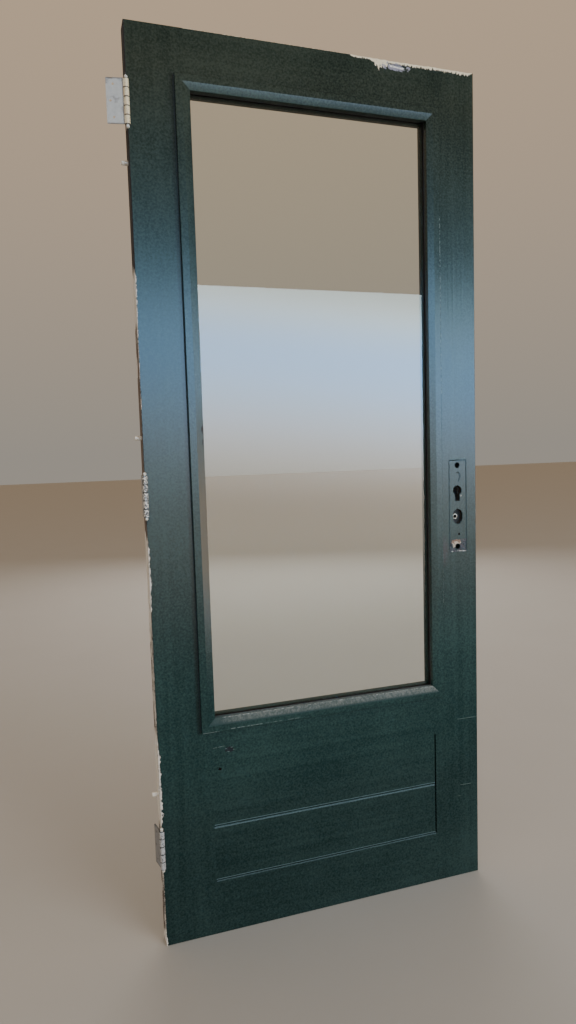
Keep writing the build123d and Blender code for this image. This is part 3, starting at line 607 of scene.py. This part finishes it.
# %% Middle rail finish
middle_paint = Painted("middle_rail_paint", level)
middle_paint.patch(-243, 433, 10, 5.5, soot_black_and_shadow, ragged=1.6, grain=200.0, rough=0.6, depth=0.0012)
for x, z, half_w in ((-251, 436, 2.2), (-238, 437.5, 3.2), (-233, 431.5, 1.8), (-246, 428.5, 2.2)):
    middle_paint.patch(x, z, half_w, 0.9, pale_scuff_and_highlight, ragged=0.8, grain=300.0, strength=0.7)
middle_paint.scratch(-289, 441, -255, 443, 0.8, pale_scuff_and_highlight, wander=1.2, breaks=0.45)
middle_paint.patch(-267, 391, 3.4, 3.2, soot_black_and_shadow, ragged=1.2, grain=230.0, rough=0.15, depth=0.0008)
middle_rail_paint = middle_paint.done()

# %% [markdown]
# The boards lie flush with the rails, and only their vee joints show. Fine pale lines on the
# sharp lips of the joints are painted highlights where the lips catch the light, and dirt
# darkens the groove between the two boards.

# %% Board finish
board_layers = Painted("board_paint", level)
# The pale lines on the joints' lips are painted highlights; the near-black line is dirt in the groove.
for x0, z0, x1, z1, width, colour, wander, breaks in (
        (-284, 255.7, 285, 255.7, 0.9, soot_black_and_shadow, 0.5, 0.2), (-283, 260.9, 285, 260.9, 0.85, joint_lip_highlight, 0.5, 0.2),
        (-284, 131.4, 285, 131.4, 0.9, joint_lip_highlight, 0.5, 0.2),
        (-285.5, 257, -283, 261, 0.9, joint_lip_highlight, 0.4, 0.1)):
    board_layers.scratch(x0, z0, x1, z1, width, colour, wander=wander, breaks=breaks, rough=0.3)
board_paint = board_layers.done()

# %% [markdown]
# The upright mouldings slope towards the glass. On the left one the slope shows a painted brown
# reflection that comes and goes along its height, so the mask is a band across times stops
# along. On the right one, broken pale lines are painted highlights along its arris.

# %% Upright moulding finish
slope_middle, slope_half = -0.2818, 8.9 * mm
upright_paint = Painted("upright_moulding_paint", upright)
tree = upright_paint.tree
off_middle = calc(tree, "ABSOLUTE", calc(tree, "ADD", upright_paint.apart["X"], -slope_middle))
on_slope = calc(tree, "LESS_THAN", off_middle, slope_half)
# Painted reflection: a brown tone on the left moulding's slope that comes and goes along its height.
brown_reflection = upright_paint.along(
    "Z", (560, 0.0), (640, 0.05), (700, 0.15), (780, 0.4), (850, 0.75), (1000, 0.8), (1080, 0.5),
    (1160, 0.25), (1240, 0.1), (1420, 0.04), (1500, 0.0))
upright_paint.layer(calc(tree, "MULTIPLY", on_slope, brown_reflection), slope_brown_reflection, rough=1.0)
for z, half_w, half_h in ((1158, 2.4, 9), (1128, 1.6, 6)):
    upright_paint.patch(-277.5, z, half_w, half_h, dark_brown, ragged=1.2, grain=170.0, y=-26)
# Painted highlights: broken pale lines along the right moulding's arris.
upright_paint.scratch(306.0, 1230, 306.0, 1640, 0.9, arris_highlight, wander=0.6, breaks=0.52, y=-29.6)
upright_paint.scratch(306.0, 720, 306.0, 1010, 0.8, pale_scuff_and_highlight, wander=0.6, breaks=0.5, y=-29.6)
upright_moulding_paint = upright_paint.done()

# %% [markdown]
# The two level mouldings share a finish, and their heights tell them apart. The top one's
# slope faces down and is rougher than the faces. The bottom one's slope faces up, so dust
# settles on it, thickest away from the left corner, and its paler tone is also painted light
# from above. Pale flecks along the glass and broken pale lines along the moulding's face are
# painted highlights.

# %% Level moulding finish
level_paint = Painted("level_moulding_paint", level)
tree = level_paint.tree
# Painted highlights: broken pale lines along the bottom moulding, where its arris catches the light.
for x0, x1, z, width, breaks, strength in (
        (-303, -268, 482.4, 1.0, 0.36, 0.45), (-240, -166, 485.0, 1.0, 0.44, 0.5),
        (-166, -60, 485.6, 0.9, 0.54, 0.3)):
    level_paint.scratch(x0, z, x1, z + 0.6, width, arris_highlight, wander=0.9, breaks=breaks, y=-29.8,
                        strength=strength)
near_head = ramp(tree, level_paint.apart["Z"], 1.5, 1.8)
slope_gloss = ramp(tree, level_paint.apart["Z"], 1.858, 1.872, 0.62, 0.34)
on_slope = calc(tree, "LESS_THAN", level_paint.apart["Z"], 1.8707)
level_paint.rough = blend_value(tree, calc(tree, "MULTIPLY", near_head, on_slope), level_paint.rough,
                                slope_gloss)
# The up-facing bottom slope is paler and carries dust: dust, and also painted light from above.
low_slope = level_paint.along("Z", (490, 0.0), (496.4, 0.0), (497.2, 1.0), (513.6, 1.0), (514.4, 0.0),
                              (520, 0.0))
level_paint.layer(low_slope, enamel_pale, rough=1.0)
dusty_and_lit_slope = level_paint.along("Z", (490, 0.0), (497.6, 0.0), (502.0, 0.8), (504.0, 1.0), (513.6, 1.0),
                          (514.4, 0.0), (520, 0.0))
settled_and_lit = ramp(tree, speckle(tree, level_paint.place, 170.0, rough=0.75), 0.42, 0.60, first=0.40)
settled_and_lit = calc(tree, "MULTIPLY", settled_and_lit,
               level_paint.along("X", (-310, 0.1), (-268, 0.2), (-225, 0.85), (300, 1.0)))
level_paint.layer(calc(tree, "MULTIPLY", dusty_and_lit_slope, settled_and_lit), settled_dust_and_light, rough=1.0)
# Painted highlights: pale flecks along the slope's upper arris by the glass.
level_paint.scratch(-262, 512.2, 273, 512.2, 1.3, slope_highlight_flecks, wander=1.2, breaks=0.55, y=-26, strength=0.8)
level_moulding_paint = level_paint.done()

# %% [markdown]
# The beads on the far side hold the glass in. Only a dull dark sliver of them shows through it,
# so they get the same brushed paint with less shine.

# %% Rear bead finish
bead_layers = Painted("rear_bead_paint", level)
bead_layers.shader.inputs["Specular IOR Level"].default_value = 0.06
rear_bead_paint = bead_layers.done()


# %% [markdown]
# Metal and rubber are simpler than paint: a colour with a light mottle, and a gloss that
# follows the same cloud. One function makes them all.

# %% A plain finish
def plain(name, colour, rough, metal=0.0, mottle=0.0, grain=120.0):
    """A finish with a light mottle in colour and gloss."""
    made = bpy.data.materials.new(name)
    made.use_nodes = True
    tree = made.node_tree
    shader = tree.nodes["Principled BSDF"]
    shader.inputs["Metallic"].default_value = metal
    place = add_node(tree, "ShaderNodeTexCoord").outputs["Object"]
    cloud = speckle(tree, place, grain, detail=4.0)
    dark = tuple(channel * (1 - mottle) for channel in colour)
    light = tuple(min(1.0, channel * (1 + mottle)) for channel in colour)
    tree.links.new(blend(tree, cloud, dark, light), shader.inputs["Base Color"])
    gloss = calc(tree, "MULTIPLY_ADD", cloud, 0.2 * rough, 0.9 * rough)
    tree.links.new(gloss, shader.inputs["Roughness"])
    return made


print("plain finish ready")

# %% [markdown]
# A hinge is plated steel, but its barrel was painted over, cream or white. The paint stays
# where the distance from the pin is small, dirt gathers beside it, the seams between the
# knuckles are darkened with dirt and painted shade, and noise shakes every border. The three
# hinges differ in colours and wear.

# %% Hinge finishes
barrel_y, barrel_l = -0.026, 0.089
knuckles = 5
rust_dirt = (0.055, 0.038, 0.026)


def hinge_finish(which, plate, barrel, dirt, bare):
    """A hinge leaf: plated steel, old paint on its barrel, dirt and painted shade between the knuckles."""
    made = plain(which + "_hinge_finish", plate, 0.6, metal=0.15, mottle=0.22)
    tree = made.node_tree
    shader = tree.nodes["Principled BSDF"]
    centre = hinge_middles[which] * mm
    place = add_node(tree, "ShaderNodeTexCoord").outputs["Object"]
    apart = add_node(tree, "ShaderNodeSeparateXYZ", {0: place}).outputs
    away_x = calc(tree, "SUBTRACT", apart["X"], hinge_edge)
    away_y = calc(tree, "SUBTRACT", apart["Y"], barrel_y)
    reach = calc(tree, "SQRT", calc(tree, "MULTIPLY_ADD", away_x, away_x,
                                    calc(tree, "MULTIPLY", away_y, away_y)))
    blotch = speckle(tree, place, 260.0, rough=0.7)
    shaken = calc(tree, "MULTIPLY_ADD", calc(tree, "SUBTRACT", blotch, 0.5), 2.4 * mm, reach)
    on_barrel = ramp(tree, shaken, 6.4 * mm, 5.9 * mm)
    beside = ramp(tree, shaken, 9.0 * mm, 7.0 * mm)
    rims = speckle(tree, place, 55.0, detail=4.0)
    stains = ramp(tree, rims, 0.60, 0.72, last=0.5)
    rim_z = calc(tree, "ABSOLUTE", calc(tree, "SUBTRACT", apart["Z"], centre))
    rim_z = calc(tree, "MULTIPLY_ADD", calc(tree, "SUBTRACT", rims, 0.5), 6.0 * mm, rim_z)
    rim = ramp(tree, rim_z, barrel_l / 2 - 3.0 * mm, barrel_l / 2, last=0.7)
    worn = ramp(tree, blotch, bare, bare + 0.05, last=0.9)
    # The seams between the knuckles are darkened: dirt, and painted shade in the gaps.
    step = calc(tree, "DIVIDE", calc(tree, "SUBTRACT", apart["Z"], centre - barrel_l / 2),
                barrel_l / knuckles)
    wobble = calc(tree, "MULTIPLY_ADD", calc(tree, "SUBTRACT", blotch, 0.5), 0.12, step)
    seam = calc(tree, "ABSOLUTE", calc(tree, "SUBTRACT", wobble, calc(tree, "ROUND", wobble)))
    seam_dirt_and_shade = ramp(tree, seam, 0.075, 0.045)
    colour = shader.inputs["Base Color"].links[0].from_socket
    for mask, over in ((stains, dirt), (rim, dirt), (calc(tree, "MULTIPLY", beside, 0.9), dirt),
                       (on_barrel, barrel), (calc(tree, "MULTIPLY", worn, on_barrel), dirt),
                       (calc(tree, "MULTIPLY", seam_dirt_and_shade, on_barrel), dirt)):
        colour = blend(tree, mask, colour, over)
    tree.links.new(colour, shader.inputs["Base Color"])
    metal_left = calc(tree, "MULTIPLY", calc(tree, "SUBTRACT", 1.0, on_barrel), 0.12)
    tree.links.new(metal_left, shader.inputs["Metallic"])
    return made


top_hinge_finish = hinge_finish("top", (0.42, 0.395, 0.355), (0.86, 0.75, 0.50), rust_dirt, 0.60)
middle_hinge_finish = hinge_finish("middle", (0.40, 0.40, 0.39), (0.88, 0.87, 0.82), grime_and_shade, 0.47)
bottom_hinge_finish = hinge_finish("bottom", (0.28, 0.28, 0.275), (0.50, 0.51, 0.52), grime_and_shade, 0.55)
print("three hinge finishes")

# %% [markdown]
# The other metals differ in tint and gloss, and the lock case is painted near black as shade,
# for it is seen only deep inside the holes. The rubber is matt and nearly black, and the glass
# is clear with a green tint.

# %% Metal, rubber and glass
pin_steel = plain("pin_steel", (0.66, 0.63, 0.55), 0.50, metal=0.2, mottle=0.3, grain=300.0)
screw_steel = plain("screw_steel", (0.50, 0.48, 0.44), 0.40, metal=0.9, mottle=0.2)
cream_steel = plain("painted_steel", (0.90, 0.84, 0.74), 0.5, mottle=0.25, grain=260.0)
lock_steel = plain("lock_steel", (0.42, 0.44, 0.45), 0.38, metal=0.9, mottle=0.2)
# Painted shade: the lock case is near black because it is seen only deep inside the holes.
case_steel_in_shade = plain("case_steel_in_shade", (0.020, 0.018, 0.016), 0.8, metal=0.1, mottle=0.4, grain=200.0)
bolt_metal = plain("bolt_metal", (0.16, 0.14, 0.10), 0.48, metal=0.8, mottle=0.25)
spring_wire = plain("spring_wire", (0.55, 0.55, 0.55), 0.3, metal=1.0, mottle=0.1)
rubber = plain("gasket_rubber", (0.006, 0.006, 0.007), 0.6, mottle=0.2)
block_plastic = plain("block_plastic", (0.25, 0.27, 0.30), 0.5, mottle=0.1)
window_glass = plain("window_glass", (0.84, 0.89, 0.87), 0.0)
glass_shader = window_glass.node_tree.nodes["Principled BSDF"]
window_glass.node_tree.links.remove(glass_shader.inputs["Roughness"].links[0])
glass_shader.inputs["Roughness"].default_value = 0.0
glass_shader.inputs["Transmission Weight"].default_value = 1.0
glass_shader.inputs["IOR"].default_value = 1.52
print("metals, rubber and glass ready")

# %% [markdown]
# The follower is pale metal, and its square hole is painted dark as shade, for little light gets
# so deep. A square mask about the spindle's middle lays this painted shade in the hole.

# %% Follower metal
square_half = 4.3 * mm
hub_metal = plain("hub_metal", (0.78, 0.72, 0.60), 0.5, metal=0.2, mottle=0.2, grain=200.0)
tree = hub_metal.node_tree
hub_shader = tree.nodes["Principled BSDF"]
hub_place = add_node(tree, "ShaderNodeTexCoord").outputs["Object"]
hub_at = vector_calc(tree, "SUBTRACT", hub_place, (holes_x * mm, 0.0, spindle_z * mm))
hub_apart = add_node(tree, "ShaderNodeSeparateXYZ", {0: hub_at}).outputs
across = calc(tree, "MAXIMUM", calc(tree, "ABSOLUTE", hub_apart["X"]),
              calc(tree, "ABSOLUTE", hub_apart["Z"]))
# Painted shade in the follower's deep square hole.
shaded_square = calc(tree, "LESS_THAN", across, square_half)
hub_colour = hub_shader.inputs["Base Color"].links[0].from_socket
tree.links.new(blend(tree, shaded_square, hub_colour, grime_and_shade), hub_shader.inputs["Base Color"])
print("made", hub_metal.name)

# %% [markdown]
# Every piece's name says what it is, so a table of words finds its finish. The first words
# that a name holds decide, which is why the longer words stand before the shorter ones.

# %% Give each piece its finish
finish_by_words = (
    ("hinge_stile", hinge_stile_paint), ("lock_stile", lock_stile_paint), ("top_rail", top_rail_paint),
    ("middle_rail", middle_rail_paint), ("bottom_rail", board_paint), ("_board", board_paint),
    ("rear_bead", rear_bead_paint), ("front_moulding_left", upright_moulding_paint),
    ("front_moulding_right", upright_moulding_paint), ("front_moulding", level_moulding_paint),
    ("gasket", rubber), ("glass_pane", window_glass), ("setting_blocks", block_plastic),
    ("hinge_pin", pin_steel), ("hinge_bolts", cream_steel), ("screws", screw_steel),
    ("top_hinge", top_hinge_finish), ("middle_hinge", middle_hinge_finish),
    ("bottom_hinge", bottom_hinge_finish), ("_bolt", bolt_metal), ("latch_spring", spring_wire),
    ("spindle_follower", hub_metal), ("lock_case", case_steel_in_shade), ("lock_cap", case_steel_in_shade),
    ("lock_forend", lock_steel))
for name, piece in nodes.items():
    piece.data.materials.clear()
    piece.data.materials.append(next(finish for words, finish in finish_by_words if words in name))
print("finished", len(nodes), "pieces")

# %% [markdown]
# Where the paint has gone from a corner the timber under it is bruised too. The stiles and the
# top rail are copied from the solid model, cut into short lengths, and the worn corners are
# pushed in by noise, most where the paint chips are widest. The rims of the two big holes are
# splintered in the same way. The plain solids stay for the simulation.

# %% Helpers for worn timber
bruise_band = 2.0 * mm


def reach_at(stops, place):
    """The value of a list of (place, value) stops at one place."""
    for (low, first), (high, last) in zip(stops, stops[1:]):
        if low <= place <= high:
            return first + (last - first) * (place - low) / (high - low)
    return 0.0


def cut_across(work, axis, places):
    """Cuts a skin across an axis at places in millimetres."""
    normal = Vector([float(axis == letter) for letter in "XYZ"])
    for place in places:
        bmesh.ops.bisect_plane(work, geom=work.verts[:] + work.edges[:] + work.faces[:],
                               dist=0.001 * mm, plane_co=normal * place * mm, plane_no=normal)


def copy_skin(name):
    """A merged copy of a solid's skin."""
    work = bmesh.new()
    work.from_mesh(nodes[name].data)
    bmesh.ops.remove_doubles(work, verts=work.verts, dist=0.002 * mm)
    return work


def keep_copy(work, name, material, *stands_for):
    """Turns the worked skin into a piece that rides on the leaf."""
    for face in work.faces:
        face.smooth = False
    mesh = bpy.data.meshes.new(name)
    work.to_mesh(mesh)
    work.free()
    mesh.materials.append(material)
    piece = bpy.data.objects.new(name, mesh)
    bpy.context.collection.objects.link(piece)
    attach(piece, "leaf")
    if stands_for:
        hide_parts(*stands_for)
    print(name, len(mesh.polygons), "faces")
    return piece


def rough_noise(vert, scale, offset=0.0):
    """Noise between 0 and 1 at a corner of the skin."""
    return 0.5 + 0.5 * noise.noise(vert.co * scale + Vector((offset, offset, offset)))


print("helpers for worn timber ready")

# %% [markdown]
# The hinge stile is cut every five millimetres up to the top of its worn stretch, but not at
# the hinges, whose beds must stay crisp. Only points on the front arris move: in by up to a
# third of the chip's width, and back by a little less.

# %% Worn hinge stile
hinge_room = 46
stile_bruise = 0.35
hinge_zones = [(z - hinge_room, z + hinge_room) for z in hinge_middles.values()]
cuts = [z for z in range(4, 1480, 5) if not any(low < z < high for low, high in hinge_zones)]
work = copy_skin("hinge_stile")
cut_across(work, "Z", cuts)
for vert in work.verts:
    at = vert.co.z / mm
    on_arris = vert.co.x <= hinge_edge + bruise_band and vert.co.y <= front + bruise_band
    at_hinge = any(low - 1 < at < high + 1 for low, high in hinge_zones)
    if on_arris and 1 < at < 1978 and not at_hinge:
        push = stile_bruise * reach_at(chip_stops, at) * rough_noise(vert, 160.0) * mm
        vert.co.x += push
        vert.co.y += 0.8 * push
keep_copy(work, "worn_hinge_stile", hinge_stile_paint, "hinge_stile")

# %% [markdown]
# The top rail and the lock stile wear along the head in the same way, down and back. On the
# lock stile the front rims of the two big holes are broken outwards: each rim point moves away
# from the nearest point of its hole's middle line, so a long hole splinters evenly too.

# %% Worn head and splintered holes
head_bruise, deepest_bruise = 0.3, 2.2
bruise_end = 404
spindle_ends, cylinder_ends = (0.925, 0.935), (0.974, 0.995)
between_holes = 0.957
splinter_room = 20.0 * mm


def bruise_head(vert, low):
    """Pushes the worn arris of the head down and back."""
    x, y, z = vert.co
    if y < front + bruise_band and z > head - bruise_band and low < x / mm < bruise_end:
        push = min(deepest_bruise, head_bruise * reach_at(head_stops, x / mm))
        push *= rough_noise(vert, 170.0) * mm
        vert.co.z -= push
        vert.co.y += 0.6 * push


def splinter_hole(vert):
    """Breaks the front rim of the spindle's hole or the cylinder's hole outwards."""
    x, y, z = vert.co
    if abs(y - front) < 0.01 * mm and 330 < x / mm < 376 and 905 < z / mm < 1020:
        low_end, high_end = cylinder_ends if z > between_holes else spindle_ends
        off_middle = vert.co - Vector((holes_x * mm, front, min(max(z, low_end), high_end)))
        on_rim = any(abs(face.normal.y) < 0.5 for face in vert.link_faces)
        if on_rim and off_middle.length < splinter_room:
            broken = max(0.0, 2.4 * rough_noise(vert, 210.0) - 0.9) * mm
            vert.co += off_middle.normalized() * broken


for name, low, high, material in (("top_rail", 90, 284, top_rail_paint),
                                  ("lock_stile", 290, 402, lock_stile_paint)):
    work = copy_skin(name)
    cut_across(work, "X", range(low, high, 4))
    if name == "lock_stile":
        cut_across(work, "Z", [*range(966, 1010, 3), *range(912, 950, 3)])
    for vert in work.verts:
        bruise_head(vert, low)
        if name == "lock_stile":
            splinter_hole(vert)
    keep_copy(work, "worn_" + name, material, name)

# %% [markdown]
# Each coat of paint built up a little against the edges of the handle plate. With the plate
# gone a low bead of paint still stands round where it sat. A flat grid for each side, humped
# across its width and shaken by noise, is enough for a ridge under half a millimetre high.

# %% Paint bead round the plate
bead = bmesh.new()
bead_w, bead_up, bead_sunk = 1.8 * mm, 0.45 * mm, 0.08 * mm
bead_out = 1.3
plate_mid_x, plate_mid_z = (plate_left + plate_right) / 2, (plate_low + plate_high) / 2
plate_w, plate_h = plate_right - plate_left, plate_high - plate_low
for across_x, across_z, length, turned in (
        (plate_left - bead_out, plate_mid_z, plate_h, 90),
        (plate_right + bead_out, plate_mid_z, plate_h, 90),
        (plate_mid_x, plate_high + bead_out, plate_w + 2 * bead_out, 0)):
    strip = bmesh.ops.create_grid(bead, x_segments=round(length / 2), y_segments=4, size=0.5)["verts"]
    bmesh.ops.scale(bead, verts=strip, vec=(length * mm, bead_w, 1.0))
    for vert in strip:
        hump = max(0.0, 1.0 - (2 * vert.co.y / bead_w) ** 2)
        vert.co.z = hump * bead_up * (0.3 + 0.9 * rough_noise(vert, 90.0, across_x)) - bead_sunk
        vert.co.y += 0.5 * mm * (rough_noise(vert, 60.0, across_z) - 0.5)
    to_front = Euler((math.radians(90), math.radians(turned), 0)).to_matrix()
    bmesh.ops.rotate(bead, verts=strip, cent=(0, 0, 0), matrix=to_front)
    bmesh.ops.translate(bead, verts=strip, vec=(across_x * mm, front, across_z * mm))
bmesh.ops.recalc_face_normals(bead, faces=bead.faces)
keep_copy(bead, "plate_paint_bead", lock_stile_paint)

# %% [markdown]
# A coil spring pushes the latch out. Round steel wire is wound on a rod: one turn of a circle
# about the spring's axis, moved on a little at each step.

# %% Latch spring
spring_low, spring_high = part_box("latch_spring")
wire_r, coil_turns, coil_steps = 0.45 * mm, 6, 20
spring_run = spring_high[0] - spring_low[0] - 2 * wire_r
coil_mid = Vector((0, (spring_low[1] + spring_high[1]) / 2, (spring_low[2] + spring_high[2]) / 2))
coil_r = (spring_high[2] - spring_low[2]) / 2 - wire_r
coil = bmesh.new()
bmesh.ops.create_circle(coil, cap_ends=False, segments=10, radius=wire_r)
bmesh.ops.translate(coil, verts=coil.verts, vec=(spring_low[0] + wire_r, coil_mid.y + coil_r, coil_mid.z))
bmesh.ops.spin(coil, geom=coil.verts[:] + coil.edges[:], cent=coil_mid, axis=(1, 0, 0),
               dvec=(spring_run / coil_turns / coil_steps, 0, 0), angle=2 * math.pi * coil_turns,
               steps=coil_turns * coil_steps, use_duplicate=False)
bmesh.ops.holes_fill(coil, edges=[e for e in coil.edges if e.is_boundary], sides=0)
bmesh.ops.recalc_face_normals(coil, faces=coil.faces)
spring_piece = keep_copy(coil, "coiled_latch_spring", spring_wire, "latch_spring")
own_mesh(spring_piece)

# %% [markdown]
# The door stands on a plain pale floor. It is left out of mirrored rays, because the enamel
# would show it as a grey haze low down.

# %% Floor
floor_gap = 0.5 * mm
floor_mesh = bpy.data.meshes.new("floor")
sheet = bmesh.new()
bmesh.ops.create_grid(sheet, x_segments=1, y_segments=1, size=30.0)
bmesh.ops.translate(sheet, verts=sheet.verts, vec=(0, 0, cad_box[0][2] - floor_gap))
sheet.to_mesh(floor_mesh)
sheet.free()
floor = bpy.data.objects.new("floor", floor_mesh)
bpy.context.collection.objects.link(floor)
floor_mesh.materials.append(plain("pale_floor", (0.42, 0.41, 0.39), 0.8, mottle=0.04, grain=3.0))
floor.visible_glossy = False
print("floor at", round(cad_box[0][2], 4))

# %% [markdown]
# Far in front of the door stands a wide soft panel in place of the open sky: satin enamel shows
# it as a pale blue sheen halfway up, and the glass mirrors it. It stands far off, because then
# a sloping face shows another part of it just by its slope. A second sheet hangs high up, and
# the rounded arrises and the upper slopes of the joints catch it. A dark card hangs over the
# head of the door and keeps the paint there deep.

# %% Sky panel sheets
panel_away, panel_wide = 28.0, 60.0
dim_low, foot_full, haze_low, sky_low, sky_high = -8.0, -1.4, -1.4, 5.6, 8.0
panel_mesh = bpy.data.meshes.new("sky_panel")
sheet = bmesh.new()


def panel_sheet(size, place, turned=0.0):
    """A flat sheet of a size at a place, level or turned upright."""
    verts = bmesh.ops.create_grid(sheet, x_segments=1, y_segments=1, size=0.5)["verts"]
    bmesh.ops.scale(sheet, verts=verts, vec=(*size, 1.0))
    bmesh.ops.rotate(sheet, verts=verts, cent=(0, 0, 0), matrix=Euler((turned, 0, 0)).to_matrix())
    bmesh.ops.translate(sheet, verts=verts, vec=place)


sky_size, sky_place = (panel_wide, sky_high - dim_low), (0, -panel_away, (dim_low + sky_high) / 2)
high_size, high_place = (40.0, 8.0), (0, -5.0, 14.0)
card_size, card_place = (4.0, 0.67), (0, -0.415, 2.35)
panel_sheet(sky_size, sky_place, math.radians(90))
panel_sheet(high_size, high_place)
panel_sheet(card_size, card_place)
sheet.to_mesh(panel_mesh)
sheet.free()
sky_panel = bpy.data.objects.new("sky_panel", panel_mesh)
bpy.context.collection.objects.link(sky_panel)
print("panel from", dim_low, "to", sky_high, "m")

# %% [markdown]
# The panel's light fades from blue to a dull grey foot. The height it is read at is tipped a
# little, so the fade slopes down to the right, and it grows brighter that way. Only mirrored
# rays see it: the lamps light the door.

# %% Sky panel light
panel_light = bpy.data.materials.new("panel_light")
panel_light.use_nodes = True
tree = panel_light.node_tree
tree.nodes.clear()
panel_place = add_node(tree, "ShaderNodeTexCoord").outputs["Object"]
panel_xyz = add_node(tree, "ShaderNodeSeparateXYZ", {0: panel_place}).outputs
tip, tip_from = 0.075, 4.0
sky_power, overhead_power, card_power = 16.0, 9.0, 0.12
rising = calc(tree, "MULTIPLY_ADD", calc(tree, "SUBTRACT", panel_xyz["X"], tip_from), tip, panel_xyz["Z"])
sky_share = ramp(tree, rising, haze_low, sky_low, smooth=True)
sky_colour = blend(tree, sky_share, (1.0, 0.90, 0.76), (0.27, 0.56, 0.97))
sky_colour = blend(tree, ramp(tree, rising, 5.6, 8.6, 0.0, 0.95, smooth=True), sky_colour,
                   (0.47, 0.62, 0.64))
overhead = calc(tree, "GREATER_THAN", panel_xyz["Z"], sky_high + 1.0)
sky_colour = blend(tree, overhead, sky_colour, (0.45, 0.62, 0.75))
foot_strength = ramp(tree, panel_xyz["Z"], dim_low, foot_full, 0.3, 3.2, smooth=True)
strength = calc(tree, "MULTIPLY_ADD", sky_share, sky_power, foot_strength)
strength = calc(tree, "MULTIPLY", strength, ramp(tree, panel_xyz["X"], -14.0, 23.0, 0.85, 1.3, smooth=True))
strength = calc(tree, "MULTIPLY", strength, ramp(tree, rising, 7.2, 9.2, 1.0, 0.6, smooth=True))
strength = blend_value(tree, overhead, strength, overhead_power)
on_card = calc(tree, "GREATER_THAN", panel_xyz["Y"], -2.0)
strength = blend_value(tree, on_card, strength, card_power)
glow = add_node(tree, "ShaderNodeEmission", {"Color": sky_colour, "Strength": strength})
panel_out = add_node(tree, "ShaderNodeOutputMaterial")
tree.links.new(glow.outputs[0], panel_out.inputs["Surface"])
panel_mesh.materials.append(panel_light)
sky_panel.visible_camera = False
sky_panel.visible_diffuse = False
sky_panel.visible_transmission = False
sky_panel.visible_shadow = False
print("panel lit")

# %% [markdown]
# Two large lamps, one on each side of the leaf, light it softly. They aren't mirrored, so the
# sheen on the paint comes from the panel alone. The air round the door gives a warm grey fill.

# %% Soft lights and the air
door_middle = Vector((0, 0, 1.0))


def soft_light(name, place, size, power, colour):
    """A large square lamp aimed at the door that lights surfaces but is not mirrored in them."""
    lamp = bpy.data.lights.new(name, "AREA")
    lamp.shape = "SQUARE"
    lamp.size = size
    lamp.energy = power
    lamp.color = colour
    holder = bpy.data.objects.new(name, lamp)
    bpy.context.collection.objects.link(holder)
    holder.location = place
    holder.rotation_euler = (door_middle - Vector(place)).to_track_quat("-Z", "Y").to_euler()
    holder.visible_glossy = False
    holder.visible_camera = False
    holder.visible_transmission = False


soft_light("front_lamp", (2.2, -4.2, 2.4), 2.6, 135, (0.92, 0.97, 1.0))
soft_light("rear_lamp", (1.5, 4.5, 3.0), 3.5, 110, (1.0, 0.98, 0.95))
world = bpy.data.worlds.new("studio_air")
bpy.context.scene.world = world
world.use_nodes = True
tree = world.node_tree
toward = add_node(tree, "ShaderNodeTexCoord").outputs["Generated"]
lift = add_node(tree, "ShaderNodeSeparateXYZ", {0: toward}).outputs["Z"]
air_colour = blend(tree, ramp(tree, lift, 0.0, 0.6), (0.32, 0.29, 0.25), (0.56, 0.41, 0.27))
tree.links.new(air_colour, tree.nodes["Background"].inputs["Color"])
print("lights on")

# %% [markdown]
# The camera stands a step and a half back and left of the hinge edge. It looks slightly down
# and to the right through a wide lens, so the near stile looks taller than the far one.

# %% Camera
lens = bpy.data.cameras.new("camera")
lens.sensor_width = 36.0
lens.lens = 24.82
lens.clip_start = 0.01
camera = bpy.data.objects.new("camera", lens)
bpy.context.collection.objects.link(camera)
camera.location = (-0.5802, -1.5412, 1.1071)
camera.rotation_euler = Euler([math.radians(a) for a in (84.955, 1.719, -18.127)])
bpy.context.scene.camera = camera
print("camera", [round(v, 3) for v in camera.location])
